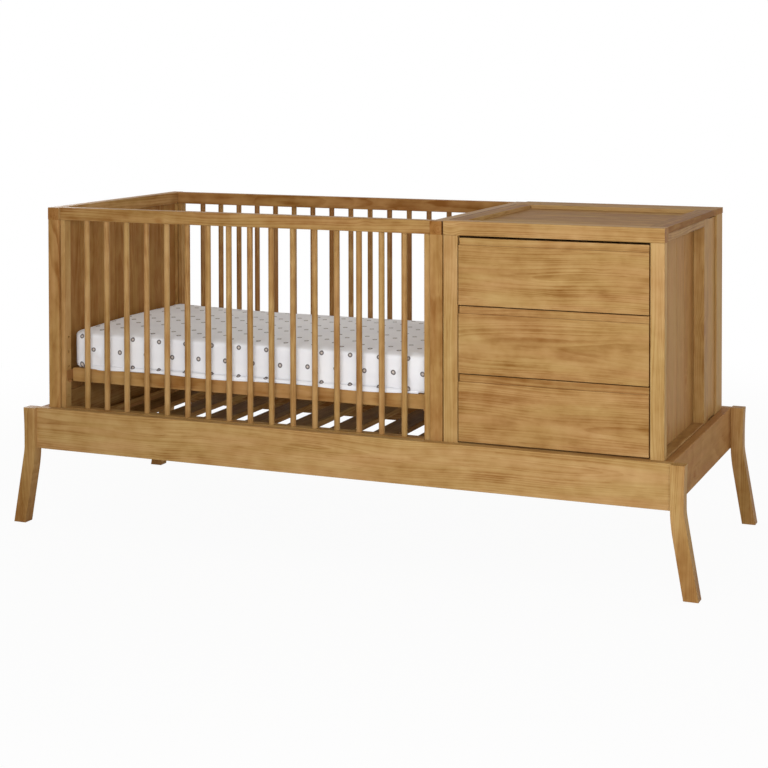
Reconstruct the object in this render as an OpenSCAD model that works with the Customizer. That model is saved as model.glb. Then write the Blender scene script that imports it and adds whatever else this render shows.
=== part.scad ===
// A pine crib whose right end is a three-drawer changing chest, both standing in one
// sledge-shaped base. Sizes in mm. The origin is on the floor at the middle of the base.
// Inside, X runs right from the crib's left end, Y runs back from the front of the posts.

/* [Body] */
// Depth over the posts
body_d = 784; // [700:1:900]
// Height of the crib's rails
crib_h = 1070; // [950:1:1200]
// Width between the crib's two ends
gate_w = 1362; // [1300:1:1500]
// Width of the chest
chest_w = 698; // [600:1:800]
// Gap between the crib's end and the chest
chest_gap = 3; // [1:0.5:6]
// Roundness of the edges of rails and posts
edge_r = 2.5; // [1:0.5:4]
// Roundness of the edges of boards and drawer fronts
board_edge_r = 1.2; // [0.5:0.1:1.8]

/* [Base] */
// Height of the aprons' top edge, the ledge
ledge_h = 392; // [350:1:450]
// Height of an apron
apron_h = 138; // [120:1:160]
// Thickness of an apron
apron_t = 28; // [22:1:34]
// Width of a leg, seen from the front
leg_w = 44; // [36:1:52]
// Depth of a leg
leg_d = 37; // [32:1:44]
// How far a leg stands out in front of the apron
leg_proud = 15; // [8:1:20]
// How far a foot is splayed out
foot_splay = 44; // [20:1:60]
// How far the leg narrows at its waist
waist_in = 3; // [0:0.5:6]
// Height of the leg's bend
bend_h = 250; // [220:1:270]
// Height of the deck's top
deck_h = 340; // [320:1:350]
// Thickness of a deck slat
deck_t = 18; // [14:1:22]
// Width of a deck slat
deck_slat_w = 89; // [60:1:110]
// Distance from one deck slat to the next
deck_pitch = 161; // [130:1:200]
// Left edge of the first full deck slat
deck_first = 129; // [100:1:160]
// Height and thickness of the ledgers under the deck
ledger_size = 30; // [20:1:38]
// Width of a corner block
block_w = 45; // [36:1:60]
// Diameter of a bolt's shank
bolt_d = 6; // [5:0.5:8]
// Diameter of a bolt's head
bolt_head_d = 13; // [10:0.5:16]
// Height of a bolt's head
bolt_head_t = 4; // [3:0.5:6]
// Length of a leg bolt
leg_bolt_len = 70; // [50:1:90]
// How far a leg bolt reaches into its leg
leg_bolt_end = 24; // [18:1:30]
// Distance of the leg bolts from the apron's edges
leg_bolt_edge = 35; // [25:1:50]

/* [Crib ends] */
// Thickness of the top rails and posts, seen from the front
end_t = 42; // [36:1:50]
// Depth of a post
post_d = 45; // [40:1:52]
// Height of an end's top rail
end_rail_h = 42; // [36:1:60]
// Height of an end's bottom rail
end_low_rail_h = 100; // [70:1:140]
// Thickness of the boards in the ends
end_board_t = 15; // [12:1:18]
// How far the boards lie back from the inner face
end_board_inset = 10; // [6:1:14]
// Number of boards in an end
end_boards_n = 7; // [5:1:9]
// Depth of the grooves that hold boards
groove_d = 9; // [6:1:12]
// Free space around boards in their grooves
groove_gap = 0.3; // [0.2:0.1:0.6]
// Height of the lower frame bolts over the deck
frame_bolt_low = 25; // [18:1:35]
// Distance of the upper frame bolts under the crib's rails
frame_bolt_high = 120; // [80:1:160]
// Depth of a frame bolt in a stile
stile_bolt_d = 13; // [10:0.5:14]
// Distance of the chest's bolts from the body's front and back
link_bolt_in = 120; // [100:1:200]
// Height of the chest's lower bolts over the deck
link_bolt_up = 50; // [30:1:60]
// Distance of the chest's upper bolts under the top frame
link_bolt_down = 8; // [7:0.5:9]
// How far the chest's bolts reach into the middle end
link_bolt_grip = 25; // [15:1:30]
// Width of the V between two boards
vee_w = 3; // [2:0.5:5]

/* [Gates] */
// Thickness of the front gate
gate_t = 35; // [30:1:38]
// Thickness of the back gate
back_gate_t = 30; // [28:1:36]
// How far a gate lies back from the faces of the posts
gate_inset = 9.5; // [6:0.5:12]
// How far the back gate lies back from the faces of the posts
back_gate_inset = 9; // [6:0.5:12]
// Height of a gate's top rail
gate_rail_h = 42.5; // [36:0.5:60]
// Width of the left stiles
left_stile_w = 16.5; // [14:0.5:30]
// Width of the right stiles
right_stile_w = 22; // [16:0.5:30]
// Gap between a gate and the ends
gate_gap = 1; // [0.5:0.5:2]
// Diameter of a spindle
spindle_d = 19; // [16:0.5:22]
// Distance from one spindle to the next
spindle_pitch = 78; // [70:0.5:80]
// Centre of the first spindle of the front gate
spindle_first = 137.3; // [120:0.1:150]
// Centre of the first spindle of the back gate
back_spindle_first = 143.5; // [120:0.1:150]
// Distance of a spindle's centre from the outer face of its gate
spindle_inset = 17.5; // [15:0.5:18]
// Distance of a back spindle's centre from the outer face of its gate
back_spindle_inset = 15; // [14:0.5:18]
// Depth of a spindle's socket
socket_d = 15; // [10:1:20]
// Free space around a spindle in its socket
socket_gap = 0.1; // [0.05:0.05:0.2]

/* [Mattress and its support] */
// Height of the mattress's underside
support_h = 520; // [480:1:700]
// Thickness of the mattress at its seams
mattress_t = 113; // [90:1:130]
// Rise of the mattress's crown over its seams
mattress_crown = 12; // [4:1:16]
// How far the mattress's long sides are drawn in between the corners
mattress_draw = 5; // [2:1:10]
// Corner radius of the mattress, seen from above
mattress_corner_r = 45; // [30:1:70]
// Roundness of the mattress's upper and lower edges
mattress_edge_r = 26; // [15:1:40]
// Free space between the mattress and the gates and ends
mattress_gap = 2.5; // [1:0.5:6]
// Free space between the mattress and its slats
mattress_seat_gap = 0.3; // [0.2:0.1:0.5]
// Height of the support's rails
support_rail_h = 46; // [40:1:60]
// Thickness of the support's rails
support_rail_t = 20; // [16:1:26]
// Free space between the support and the gates
support_gap = 5.5; // [5:0.5:10]
// Thickness of a support slat
support_slat_t = 12; // [9:1:18]
// Width of a support slat
support_slat_w = 65; // [40:1:80]
// Distance of the first and last slats from the support's ends
support_slat_end = 20; // [10:1:30]
// Number of support slats
support_slat_n = 12; // [8:1:14]
// Thickness of the support's steel hangers
hanger_t = 2; // [1.5:0.5:2]
// Diameter of the pegs that the hangers rest on
peg_d = 8; // [6:0.5:10]
// Free space between the hangers and the stiles
hanger_gap = 0.3; // [0.3:0.1:0.5]

/* [Chest] */
// Thickness of the chest's top frame
top_t = 19; // [16:1:24]
// Height of the chest over the crib's rails
chest_rise = 2; // [0:0.5:10]
// Width of the top frame's front rail, front to back
top_front_w = 44; // [36:1:60]
// Height of the top frame's front rail
top_front_h = 44; // [36:1:60]
// Width of the top frame's side rails
top_side_w = 60; // [45:1:80]
// Width of the top frame's back rail
top_back_w = 135; // [100:1:160]
// Depth of the changing tray
tray_depth = 12.5; // [8:0.5:14]
// Thickness of the tray's panel
tray_t = 9; // [6:1:12]
// Width of the left stile
chest_left_stile_w = 47; // [36:1:60]
// Width of the right stile
chest_right_stile_w = 43.5; // [36:0.5:60]
// Thickness of the stiles
chest_stile_t = 29; // [22:1:34]
// Thickness of the left side panel
side_t = 18; // [15:1:22]
// How far the right boards lie back from the outer face
right_inset = 36; // [20:1:44]
// Thickness of the right boards
right_board_t = 15; // [12:1:18]
// Place of the first joint between the right boards
right_first_joint = 77; // [60:1:100]
// Distance from one board joint to the next
right_board_pitch = 104; // [90:1:115]
// Height of the rail over the right boards
right_rail_h = 23; // [18:1:40]
// How far the rail under the right boards stands up over the ledge
right_low_rail_rise = 4; // [1:1:10]
// Place of the middle post's front face
mid_post_y = 508; // [480:1:520]
// Depth of the middle post
mid_post_d = 64; // [50:1:80]
// Depth of the corner post
corner_post_d = 88; // [70:1:100]
// Distance of the corner post's back face from the body's back
corner_post_inset = 6; // [3:1:12]
// How far the narrow rear panel lies back
rear_panel_inset = 7; // [4:1:12]
// Thickness of the back panel
back_panel_t = 12; // [9:1:16]
// Thickness of the bottom panel
bottom_t = 12; // [9:1:16]
// Gap over the narrow rear panel
rear_slot = 5; // [3:1:8]

/* [Drawers] */
// Thickness of a drawer front
front_t = 22; // [18:1:26]
// Gap between one drawer front and the next
drawer_gap = 4; // [2:0.5:5]
// Gap over the top drawer
top_gap = 7; // [4:0.5:9]
// Gap under the bottom drawer
low_gap = 4.5; // [3:0.5:8]
// Gap at a drawer front's sides
side_gap = 3.4; // [2:0.1:4]
// Height of the finger pull along a front's top edge
pull_h = 23; // [16:1:30]
// Depth of the finger pull
pull_d = 6.5; // [4:0.5:9]
// Length of a drawer box behind its front
box_len = 460; // [380:1:560]
// How far a drawer box ends under its front's top edge
box_drop = 35.5; // [30:0.5:60]
// Height of a box over the lower edge of its front
box_lift = 20; // [12:1:24]
// Thickness of a drawer box's boards
box_t = 12; // [9:1:15]
// Thickness of a drawer's bottom
box_bottom_t = 6; // [4:1:9]
// Height of a drawer's bottom over its box's lower edge
box_bottom_lift = 10; // [8:1:14]
// Thickness of a pair of runner members
runner_t = 12.7; // [12:0.1:14]
// Height of the packers behind the left runners
packer_h = 60; // [50:1:80]
// Height of the fixed runner member
runner_h = 45; // [35:1:50]
// Length of the runners
runner_len = 440; // [350:10:450]
// Thickness of the runners' sheet steel
sheet_t = 1.5; // [1:0.1:2]
// Running gap between the two runner members
runner_gap = 0.4; // [0.3:0.1:0.6]

/* [Hidden] */
$fn = 48;
bit = 1;                                             // overshoot of a cut
body_len = 2 * end_t + gate_w + chest_gap + chest_w;
base_low = ledge_h - apron_h;                        // lower edge of the aprons
deck_low = deck_h - deck_t;
mid_x = end_t + gate_w;                              // left face of the middle end
chest_x = mid_x + end_t + chest_gap;                 // left face of the chest
chest_top = crib_h + chest_rise;
end_top_low = crib_h - end_rail_h;                   // underside of the ends' top rails

gate_x0 = end_t + gate_gap;
gate_x1 = mid_x - gate_gap;
gate_top_low = crib_h - gate_rail_h;
stile_in_x0 = gate_x0 + left_stile_w;                // inner faces of the gates' stiles
stile_in_x1 = gate_x1 - right_stile_w;
gate_back_y = gate_inset + gate_t;                   // inner face of the front gate
back_gate_y = body_d - back_gate_inset - back_gate_t;   // inner face of the back gate

support_x0 = stile_in_x0 + hanger_gap + hanger_t;
support_x1 = stile_in_x1 - hanger_gap - hanger_t;
support_y0 = gate_back_y + support_gap;
support_y1 = back_gate_y - support_gap;
support_low = support_h - support_rail_h;
mattress_x0 = end_t + mattress_gap;
mattress_x1 = mid_x - mattress_gap;
mattress_y0 = gate_back_y + mattress_gap;
mattress_y1 = back_gate_y - mattress_gap;
hanger_low = support_low + 8;                        // the hangers' lower edge, on the pegs
hanger_w = 26;                                       // width of a hanger's two ends
hanger_h = support_rail_h - 12;

drawer_x0 = chest_x + chest_left_stile_w + side_gap;
drawer_x1 = chest_x + chest_w - chest_right_stile_w - side_gap;
drawers_top = chest_top - top_front_h - top_gap;
drawer_n = 3;
front_h = (drawers_top - ledge_h - low_gap - (drawer_n - 1) * drawer_gap) / drawer_n;
box_h = front_h - box_drop - box_lift;
right_face = chest_x + chest_w;
right_board_x1 = right_face - right_inset;           // outer face of the right boards
right_board_x0 = right_board_x1 - right_board_t;
box_x1 = right_board_x0 - runner_t;
box_x0 = drawer_x0 + runner_t;
packer_x0 = chest_x + side_t;
packer_x1 = box_x0 - runner_t;
chest_back_y = body_d - corner_post_inset;
top_low = chest_top - top_t;                         // underside of the top frame
tray_top = chest_top - tray_depth;
tray_lap = 12;                                       // how far the tray sits under the frame
corner_post_y = chest_back_y - corner_post_d;
runner_y = front_t + 6;                              // front end of the runners
runner_mid = box_lift + box_h / 2;                   // centre of a runner over its front's edge

// Leg bolts run through the ends of the aprons, frame bolts through posts and stiles.
leg_bolt_z = [base_low + leg_bolt_edge, ledge_h - leg_bolt_edge];
frame_bolt_z = [deck_h + frame_bolt_low, crib_h - frame_bolt_high];
bolt_head_sink = bolt_head_t + 1;
bolt_gap = 0.25;

// Bolts from inside the chest, through its side, into the middle end's rails.
link_bolt_at = [for (y = [link_bolt_in, body_d - link_bolt_in],
    z = [deck_h + link_bolt_up, top_low - link_bolt_down]) [y, z]];

front_spindle_y = gate_inset + spindle_inset;
back_spindle_y = back_gate_y + back_gate_t - back_spindle_inset;
frame_bolt_y = [gate_inset + gate_t / 2, back_gate_y + back_gate_t / 2];
peg_sink = 12;                                       // depth of a peg in its hole
peg_pitch = 50;                                      // distance between the peg holes
peg_z = hanger_low - peg_d / 2;
peg_y = [gate_back_y - 14, back_gate_y + 14];

peg_out = hanger_gap + hanger_t + 8;                 // how far a peg stands out of its stile

end_board_x0 = end_t - end_board_inset - end_board_t;

tongue_t = 4;                                        // thickness and length of a board's tongue
tongue_l = 5;

right_rail_low = top_low - right_rail_h;
right_board_lap = 32;                                // how far the last board runs behind the post
right_joints = concat([chest_stile_t],
    [for (y = [right_first_joint:right_board_pitch:mid_post_y - right_board_pitch]) y],
    [mid_post_y + right_board_lap]);

rear_panel_x0 = right_face - rear_panel_inset - right_board_t;

slide_h = runner_h - 2 * sheet_t - 2 * runner_gap;

box_groove = 5;                                      // depth of the groove for a drawer's bottom

pine = [0.72, 0.55, 0.34];
pine_dark = [0.55, 0.39, 0.24];
pine_light = [0.80, 0.64, 0.42];
plywood = [0.66, 0.52, 0.36];
steel = [0.62, 0.62, 0.64];
white_cloth = [0.93, 0.94, 0.96];

// The whole object stands centred on the floor.
module in_frame() translate([-body_len / 2, -body_d / 2, 0]) children();

// A rectangle whose corners are rounded by short arcs.
function eased_corner(cx, cy, r, start) =
    [for (step = [0:3]) [cx + r * cos(start + step * 30), cy + r * sin(start + step * 30)]];
function eased(w, h, r) = concat(
    eased_corner(w - r, h - r, r, 0), eased_corner(r, h - r, r, 90),
    eased_corner(r, r, r, 180), eased_corner(w - r, r, r, 270));

// Square-cut timbers with eased long edges, from one corner to the opposite one.
module timber_x(low, high, r = edge_r)
    translate([low[0], low[1], low[2]])
        rotate([90, 0, 90])
            linear_extrude(high[0] - low[0])
                polygon(eased(high[1] - low[1], high[2] - low[2], r));

module timber_y(low, high, r = edge_r)
    translate([low[0], high[1], low[2]])
        rotate([90, 0, 0])
            linear_extrude(high[1] - low[1])
                polygon(eased(high[0] - low[0], high[2] - low[2], r));

module timber_z(low, high, r = edge_r)
    translate(low)
        linear_extrude(high[2] - low[2])
            polygon(eased(high[0] - low[0], high[1] - low[1], r));

module box_between(low, high)
    translate(low)
        cube([high[0] - low[0], high[1] - low[1], high[2] - low[2]]);

// A round hole or shank along X, starting at a point.
module rod_x(at, length, d)
    translate(at)
        rotate([0, 90, 0])
            cylinder(h = length, d = d);

// Upright boards side by side along Y, tongued into each other, with a V at each joint.
// Their face with the V looks towards +X; joints is the list of Y places from edge to edge.
module board_row(joints, t, z0, z1) {
    last = len(joints) - 2;
    for (i = [0:last]) {
        y0 = joints[i] + (i == 0 ? 0 : groove_gap / 2);
        y1 = joints[i + 1] - (i == last ? 0 : groove_gap / 2);
        v0 = i == 0 ? 0 : vee_w / 2;
        v1 = i == last ? 0 : vee_w / 2;
        difference() {
            translate([0, 0, z0])
                linear_extrude(z1 - z0)
                    polygon([[0, y0], [0, y1],
                        if (i < last) [(t - tongue_t) / 2, y1],
                        if (i < last) [(t - tongue_t) / 2, y1 + tongue_l],
                        if (i < last) [(t + tongue_t) / 2, y1 + tongue_l],
                        if (i < last) [(t + tongue_t) / 2, y1],
                        [t - v1, y1], [t, y1 - v1], [t, y0 + v0], [t - v0, y0]]);
            if (i > 0)
                box_between([(t - tongue_t) / 2 - groove_gap, y0 - bit, z0 - bit],
                    [(t + tongue_t) / 2 + groove_gap, y0 + tongue_l + groove_gap, z1 + bit]);
        }
    }
}

/* Base */

module front_apron() in_frame() color(pine)
    difference() {
        timber_x([-apron_t, -apron_t, base_low], [body_len + apron_t, 0, ledge_h]);
        leg_bolt_holes(front = true);
    }

module back_apron() in_frame() color(pine)
    difference() {
        timber_x([-apron_t, body_d, base_low], [body_len + apron_t, body_d + apron_t, ledge_h]);
        leg_bolt_holes(front = false);
    }

module side_aprons() in_frame() color(pine_dark)
    for (x = [-apron_t, body_len])
        timber_y([x, 0, base_low], [x + apron_t, body_d, ledge_h]);

// The outline of a leg seen from the front, for the left side. x = 0 is the inner face.
function bend(p, q, r) = [for (step = [0:6]) let (t = step / 6)
    (1 - t) * (1 - t) * p + 2 * t * (1 - t) * q + t * t * r];
inner_bend_h = bend_h - 25;
foot_slope = foot_splay / bend_h;
leg_outline = concat(
    [[0, 0] - [foot_slope * inner_bend_h, 0]],
    bend([-foot_slope * 45, inner_bend_h - 45], [0, inner_bend_h], [0, inner_bend_h + 40]),
    [[0, ledge_h]],
    bend([-leg_w, ledge_h], [waist_in * 1.3 - leg_w, (ledge_h + bend_h) / 2 + 10],
        [waist_in - leg_w, bend_h + 22]),
    bend([waist_in - leg_w, bend_h + 12], [waist_in - leg_w, bend_h],
        [waist_in - leg_w - foot_slope * 22, bend_h - 22]),
    [[waist_in - leg_w - foot_splay, 0]]);

module leg(y)
    translate([-apron_t, y + leg_d, 0])
        rotate([90, 0, 0])
            linear_extrude(leg_d)
                polygon(leg_outline);

module leg_pair(y, front) {
    difference() {
        union() {
            leg(y);
            translate([body_len, 0, 0])
                mirror([1, 0, 0])
                    leg(y);
        }
        leg_bolt_holes(front);
    }
}

module front_legs() in_frame() color(pine)
    leg_pair(-apron_t - leg_proud, true);

module back_legs() in_frame() color(pine)
    leg_pair(body_d + apron_t + leg_proud - leg_d, false);

module corner_blocks() in_frame() color(pine_dark)
    for (x = [0, body_len - block_w], y = [0, body_d - block_w])
        timber_z([x, y, base_low + 4], [x + block_w, y + block_w, deck_low], board_edge_r);

function leg_bolt_y(front) = front ? -apron_t / 2 : body_d + apron_t / 2;

module leg_bolt_holes(front)
    for (z = leg_bolt_z, side = [0, 1])
        leg_bolt_place(side, leg_bolt_y(front), z)
            cylinder(h = leg_bolt_len, d = bolt_d + 2 * bolt_gap);

module leg_bolt_place(side, y, z)
    translate([side == 0 ? -apron_t - leg_bolt_end : body_len + apron_t + leg_bolt_end, y, z])
        rotate([0, side == 0 ? 90 : -90, 0])
            children();

module leg_bolts() in_frame() color(steel)
    for (front = [true, false], z = leg_bolt_z, side = [0, 1])
        leg_bolt_place(side, leg_bolt_y(front), z)
            translate([0, 0, bolt_gap])
                cylinder(h = leg_bolt_len - 2 * bolt_gap, d = bolt_d);

module deck_ledgers() in_frame() color(pine_dark)
    for (y = [0, body_d - ledger_size])
        timber_x([block_w, y, deck_low - ledger_size],
            [body_len - block_w, y + ledger_size, deck_low], board_edge_r);

module deck_slats() in_frame() color(pine_dark)
    for (k = [-1:floor((body_len - deck_first) / deck_pitch)]) {
        x0 = max(0, deck_first + k * deck_pitch);
        x1 = min(body_len, deck_first + k * deck_pitch + deck_slat_w);
        timber_y([x0, 0, deck_low], [x1, body_d, deck_h], board_edge_r);
    }

/* Crib ends. Both are drawn with their inner face towards +X; the middle end is mirrored. */

module end_groove(low, high)
    box_between([end_board_x0 - groove_gap, low[0], low[1]],
        [end_board_x0 + end_board_t + groove_gap, high[0], high[1]]);

module end_top_rail()
    difference() {
        timber_y([0, 0, end_top_low], [end_t, body_d, crib_h]);
        end_groove([post_d - groove_d, end_top_low - bit],
            [body_d - post_d + groove_d, end_top_low + groove_d]);
    }

module end_posts()
    difference() {
        for (y = [0, body_d - post_d])
            timber_z([0, y, deck_h], [end_t, y + post_d, end_top_low]);
        end_groove([post_d - groove_d, deck_h + end_low_rail_h - groove_d],
            [body_d - post_d + groove_d, crib_h]);
        for (z = frame_bolt_z, y = frame_bolt_y) {
            rod_x([-bit, y, z], end_t + 2 * bit, bolt_d + 2 * bolt_gap);
            rod_x([-bit, y, z], bolt_head_sink + bit, bolt_head_d + 2 * bolt_gap);
        }
    }

module end_boards_solid() {
    y0 = post_d - groove_d + groove_gap;
    y1 = body_d - post_d + groove_d - groove_gap;
    translate([end_board_x0, 0, 0])
        board_row([for (i = [0:end_boards_n]) y0 + (y1 - y0) * i / end_boards_n], end_board_t,
            deck_h + end_low_rail_h - groove_d + groove_gap, end_top_low + groove_d - groove_gap);
}

module end_bottom_rail()
    difference() {
        timber_y([2, post_d, deck_h], [end_t - 2, body_d - post_d, deck_h + end_low_rail_h]);
        end_groove([0, deck_h + end_low_rail_h - groove_d], [body_d, crib_h]);
    }

module at_middle_end()
    translate([mid_x + end_t, 0, 0])
        mirror([1, 0, 0])
            children();

module left_end_top_rail() in_frame() color(pine) end_top_rail();
module left_end_posts() in_frame() color(pine) end_posts();
module left_end_boards() in_frame() color(pine_dark) end_boards_solid();
module left_end_bottom_rail() in_frame() color(pine_dark) end_bottom_rail();
module middle_end_top_rail() in_frame() color(pine)
    difference() {
        at_middle_end() end_top_rail();
        link_bolt_holes();
    }
module middle_end_posts() in_frame() color(pine) at_middle_end() end_posts();
module middle_end_boards() in_frame() color(pine_dark) at_middle_end() end_boards_solid();
module middle_end_bottom_rail() in_frame() color(pine_dark)
    difference() {
        at_middle_end() end_bottom_rail();
        link_bolt_holes();
    }

/* Gates */

// As many spindles as the gate's width takes, from the first one on.
module spindle_row(first, y, z0, z1, d)
    for (x = [first:spindle_pitch:stile_in_x1 - spindle_d])
        translate([x, y, z0])
            cylinder(h = z1 - z0, d = d);

module gate_top_rail(y, t, first, spindle_y)
    difference() {
        timber_x([gate_x0, y, gate_top_low], [gate_x1, y + t, crib_h]);
        spindle_row(first, spindle_y, gate_top_low - bit, gate_top_low + socket_d,
            spindle_d + 2 * socket_gap);
    }

module gate_bottom_rail(y, t, first, spindle_y)
    difference() {
        timber_x([stile_in_x0, y, deck_h], [stile_in_x1, y + t, ledge_h], board_edge_r);
        spindle_row(first, spindle_y, ledge_h - socket_d, ledge_h + bit, spindle_d + 2 * socket_gap);
    }

module gate_stiles(y, t, bolt_y, hole_y)
    difference() {
        union() {
            timber_z([gate_x0, y, deck_h], [stile_in_x0, y + t, gate_top_low]);
            timber_z([stile_in_x1, y, deck_h], [gate_x1, y + t, gate_top_low]);
        }
        for (z = frame_bolt_z) {
            rod_x([gate_x0 - bit, bolt_y, z], stile_bolt_d + bit, bolt_d + 2 * bolt_gap);
            rod_x([gate_x1 - stile_bolt_d, bolt_y, z], stile_bolt_d + bit, bolt_d + 2 * bolt_gap);
        }
        for (k = [-1:3]) {
            z = peg_z + k * peg_pitch;
            rod_x([stile_in_x0 - peg_sink, hole_y, z], peg_sink + bit, peg_d + 2 * socket_gap);
            rod_x([stile_in_x1 - bit, hole_y, z], peg_sink + bit, peg_d + 2 * socket_gap);
        }
    }

module front_gate_top_rail() in_frame() color(pine_light)
    gate_top_rail(gate_inset, gate_t, spindle_first, front_spindle_y);
module front_gate_bottom_rail() in_frame() color(pine_light)
    gate_bottom_rail(gate_inset, gate_t, spindle_first, front_spindle_y);
module front_gate_stiles() in_frame() color(pine)
    gate_stiles(gate_inset, gate_t, frame_bolt_y[0], peg_y[0]);
module front_gate_spindles() in_frame() color(pine_light)
    spindle_row(spindle_first, front_spindle_y, ledge_h - socket_d + socket_gap,
        gate_top_low + socket_d - socket_gap, spindle_d);
module back_gate_top_rail() in_frame() color(pine_light)
    gate_top_rail(back_gate_y, back_gate_t, back_spindle_first, back_spindle_y);
module back_gate_bottom_rail() in_frame() color(pine_light)
    gate_bottom_rail(back_gate_y, back_gate_t, back_spindle_first, back_spindle_y);
module back_gate_stiles() in_frame() color(pine)
    gate_stiles(back_gate_y, back_gate_t, frame_bolt_y[1], peg_y[1]);
module back_gate_spindles() in_frame() color(pine_light)
    spindle_row(back_spindle_first, back_spindle_y, ledge_h - socket_d + socket_gap,
        gate_top_low + socket_d - socket_gap, spindle_d);

// A bolt along X with a socket head, its head at x = 0.
module head_bolt(length)
    difference() {
        union() {
            rod_x([0, 0, 0], length, bolt_d);
            rod_x([0, 0, 0], bolt_head_t, bolt_head_d);
        }
        translate([-bit, 0, 0])
            rotate([0, 90, 0])
                cylinder(h = bit + bolt_head_t / 2, d = bolt_d * 0.8, $fn = 6);
    }

module frame_bolts() in_frame() color(steel) {
    head_x = bolt_head_sink - bolt_head_t;
    bolt_len = end_t + gate_gap + stile_bolt_d - head_x - bolt_gap;
    for (z = frame_bolt_z, y = frame_bolt_y) {
        translate([head_x, y, z])
            head_bolt(bolt_len);
        translate([mid_x + end_t - head_x, y, z])
            mirror([1, 0, 0])
                head_bolt(bolt_len);
    }
    for (at = link_bolt_at)
        translate([chest_x + side_t + bolt_head_t, at[0], at[1]])
            mirror([1, 0, 0])
                head_bolt(bolt_head_t + side_t + chest_gap + link_bolt_grip - bolt_gap);
}

/* Mattress and its support */

module support_pegs() in_frame() color(steel)
    for (y = peg_y) {
        rod_x([stile_in_x0 - peg_sink + socket_gap, y, peg_z], peg_sink + peg_out, peg_d);
        rod_x([stile_in_x1 - peg_out, y, peg_z], peg_sink + peg_out - socket_gap, peg_d);
    }

module support_long_rails() in_frame() color(pine)
    for (side = [0, 1]) {
        y0 = side == 0 ? support_y0 : support_y1 - support_rail_t;
        ledge_y = side == 0 ? y0 + support_rail_t : y0 - support_rail_t;
        timber_x([support_x0, y0, support_low], [support_x1, y0 + support_rail_t, support_h], board_edge_r);
        box_between([support_x0 + support_rail_t, min(ledge_y, ledge_y + support_rail_t), support_low + 4],
            [support_x1 - support_rail_t, ledge_y + support_rail_t, support_h - support_slat_t]);
    }

module support_end_rails() in_frame() color(pine)
    for (x = [support_x0, support_x1 - support_rail_t])
        timber_y([x, support_y0 + support_rail_t, support_low],
            [x + support_rail_t, support_y1 - support_rail_t, support_h], board_edge_r);

module support_slats() in_frame() color(pine_light) {
    first = support_x0 + support_rail_t + support_slat_end;
    last = support_x1 - support_rail_t - support_slat_end - support_slat_w;
    for (i = [0:support_slat_n - 1]) {
        x = first + (last - first) * i / (support_slat_n - 1);
        timber_y([x, support_y0 + support_rail_t, support_h - support_slat_t],
            [x + support_slat_w, support_y1 - support_rail_t, support_h], board_edge_r);
    }
}

// A flat steel strap on the support's end, resting on a peg beside the gate.
module hanger(x, side) {
    y_peg = peg_y[side];
    y_in = side == 0 ? support_y0 + hanger_w : support_y1 - hanger_w;
    y_out = side == 0 ? y_peg - hanger_w / 2 : y_peg + hanger_w / 2;
    box_between([x, min(y_in, y_out), hanger_low], [x + hanger_t, max(y_in, y_out), hanger_low + hanger_h]);
}

module support_hangers() in_frame() color(steel)
    for (side = [0, 1]) {
        hanger(support_x0 - hanger_t, side);
        hanger(support_x1, side);
    }

// The mattress: rings of one rounded outline, drawn in along its sides, that close in over
// its edges and up to a low crown. The underside lies flat on the slats.
mattress_side_n = 14;
mattress_arc_n = 4;
mattress_l = mattress_x1 - mattress_x0;
mattress_w = mattress_y1 - mattress_y0;
function draw_in(t) = mattress_draw * pow(sin(180 * t), 2);
function side_run(a, b, n) = [for (i = [1:n]) a + (b - a) * i / (n + 1)];
function corner_run(cx, cy, r, start) =
    [for (i = [0:mattress_arc_n]) [cx + r * cos(start + 90 * i / mattress_arc_n),
        cy + r * sin(start + 90 * i / mattress_arc_n)]];
function mattress_ring(inset, z) = let (
    l = mattress_l - 2 * inset,
    w = mattress_w - 2 * inset,
    r = max(mattress_corner_r - inset, 4),
    n = mattress_side_n,
    m = 8)
    [for (p = concat(
        corner_run(w / 2 - r, l / 2 - r, r, 0),
        [for (t = side_run(1, 0, m)) [w * (t - 0.5) * (1 - 2 * r / w), l / 2 - draw_in(t)]],
        corner_run(r - w / 2, l / 2 - r, r, 90),
        [for (t = side_run(1, 0, n)) [draw_in(t) - w / 2, l * (t - 0.5) * (1 - 2 * r / l)]],
        corner_run(r - w / 2, r - l / 2, r, 180),
        [for (t = side_run(0, 1, m)) [w * (t - 0.5) * (1 - 2 * r / w), draw_in(t) - l / 2]],
        corner_run(w / 2 - r, r - l / 2, r, 270),
        [for (t = side_run(0, 1, n)) [w / 2 - draw_in(t), l * (t - 0.5) * (1 - 2 * r / l)]]))
        [p[1], p[0], z]];
crown_run = mattress_w * 0.36;                       // where the crown is at its full height
mattress_profile = let (r = mattress_edge_r, t = mattress_t, c = mattress_crown) concat(
    [[r * 0.55, 0], [r * 0.2, r * 0.18], [0, r * 0.6], [0, t / 2], [0, t - r],
        [r * 0.13, t - r * 0.5], [r * 0.5, t - r * 0.13], [r, t]],
    [for (u = [0.2, 0.4, 0.7, 1]) [r + (crown_run - r) * u, t + c * sin(90 * u)]]);

module mattress() in_frame() color(white_cloth)
    translate([(mattress_x0 + mattress_x1) / 2, (mattress_y0 + mattress_y1) / 2,
        support_h + mattress_seat_gap]) {
        rings = [for (p = mattress_profile) mattress_ring(p[0], p[1])];
        n = len(rings[0]);
        top = len(rings) - 1;
        polyhedron(
            points = concat([for (ring = rings) each ring],
                [[0, 0, 0], [0, 0, mattress_t + mattress_crown]]),
            faces = concat(
                [for (k = [0:top - 1], i = [0:n - 1]) each let (j = (i + 1) % n)
                    [[k * n + i, k * n + j, (k + 1) * n + j], [k * n + i, (k + 1) * n + j, (k + 1) * n + i]]],
                [for (i = [0:n - 1]) [(i + 1) % n, i, (top + 1) * n]],
                [for (i = [0:n - 1]) [top * n + i, top * n + (i + 1) % n, (top + 1) * n + 1]]));
    }

/* Chest */

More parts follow.
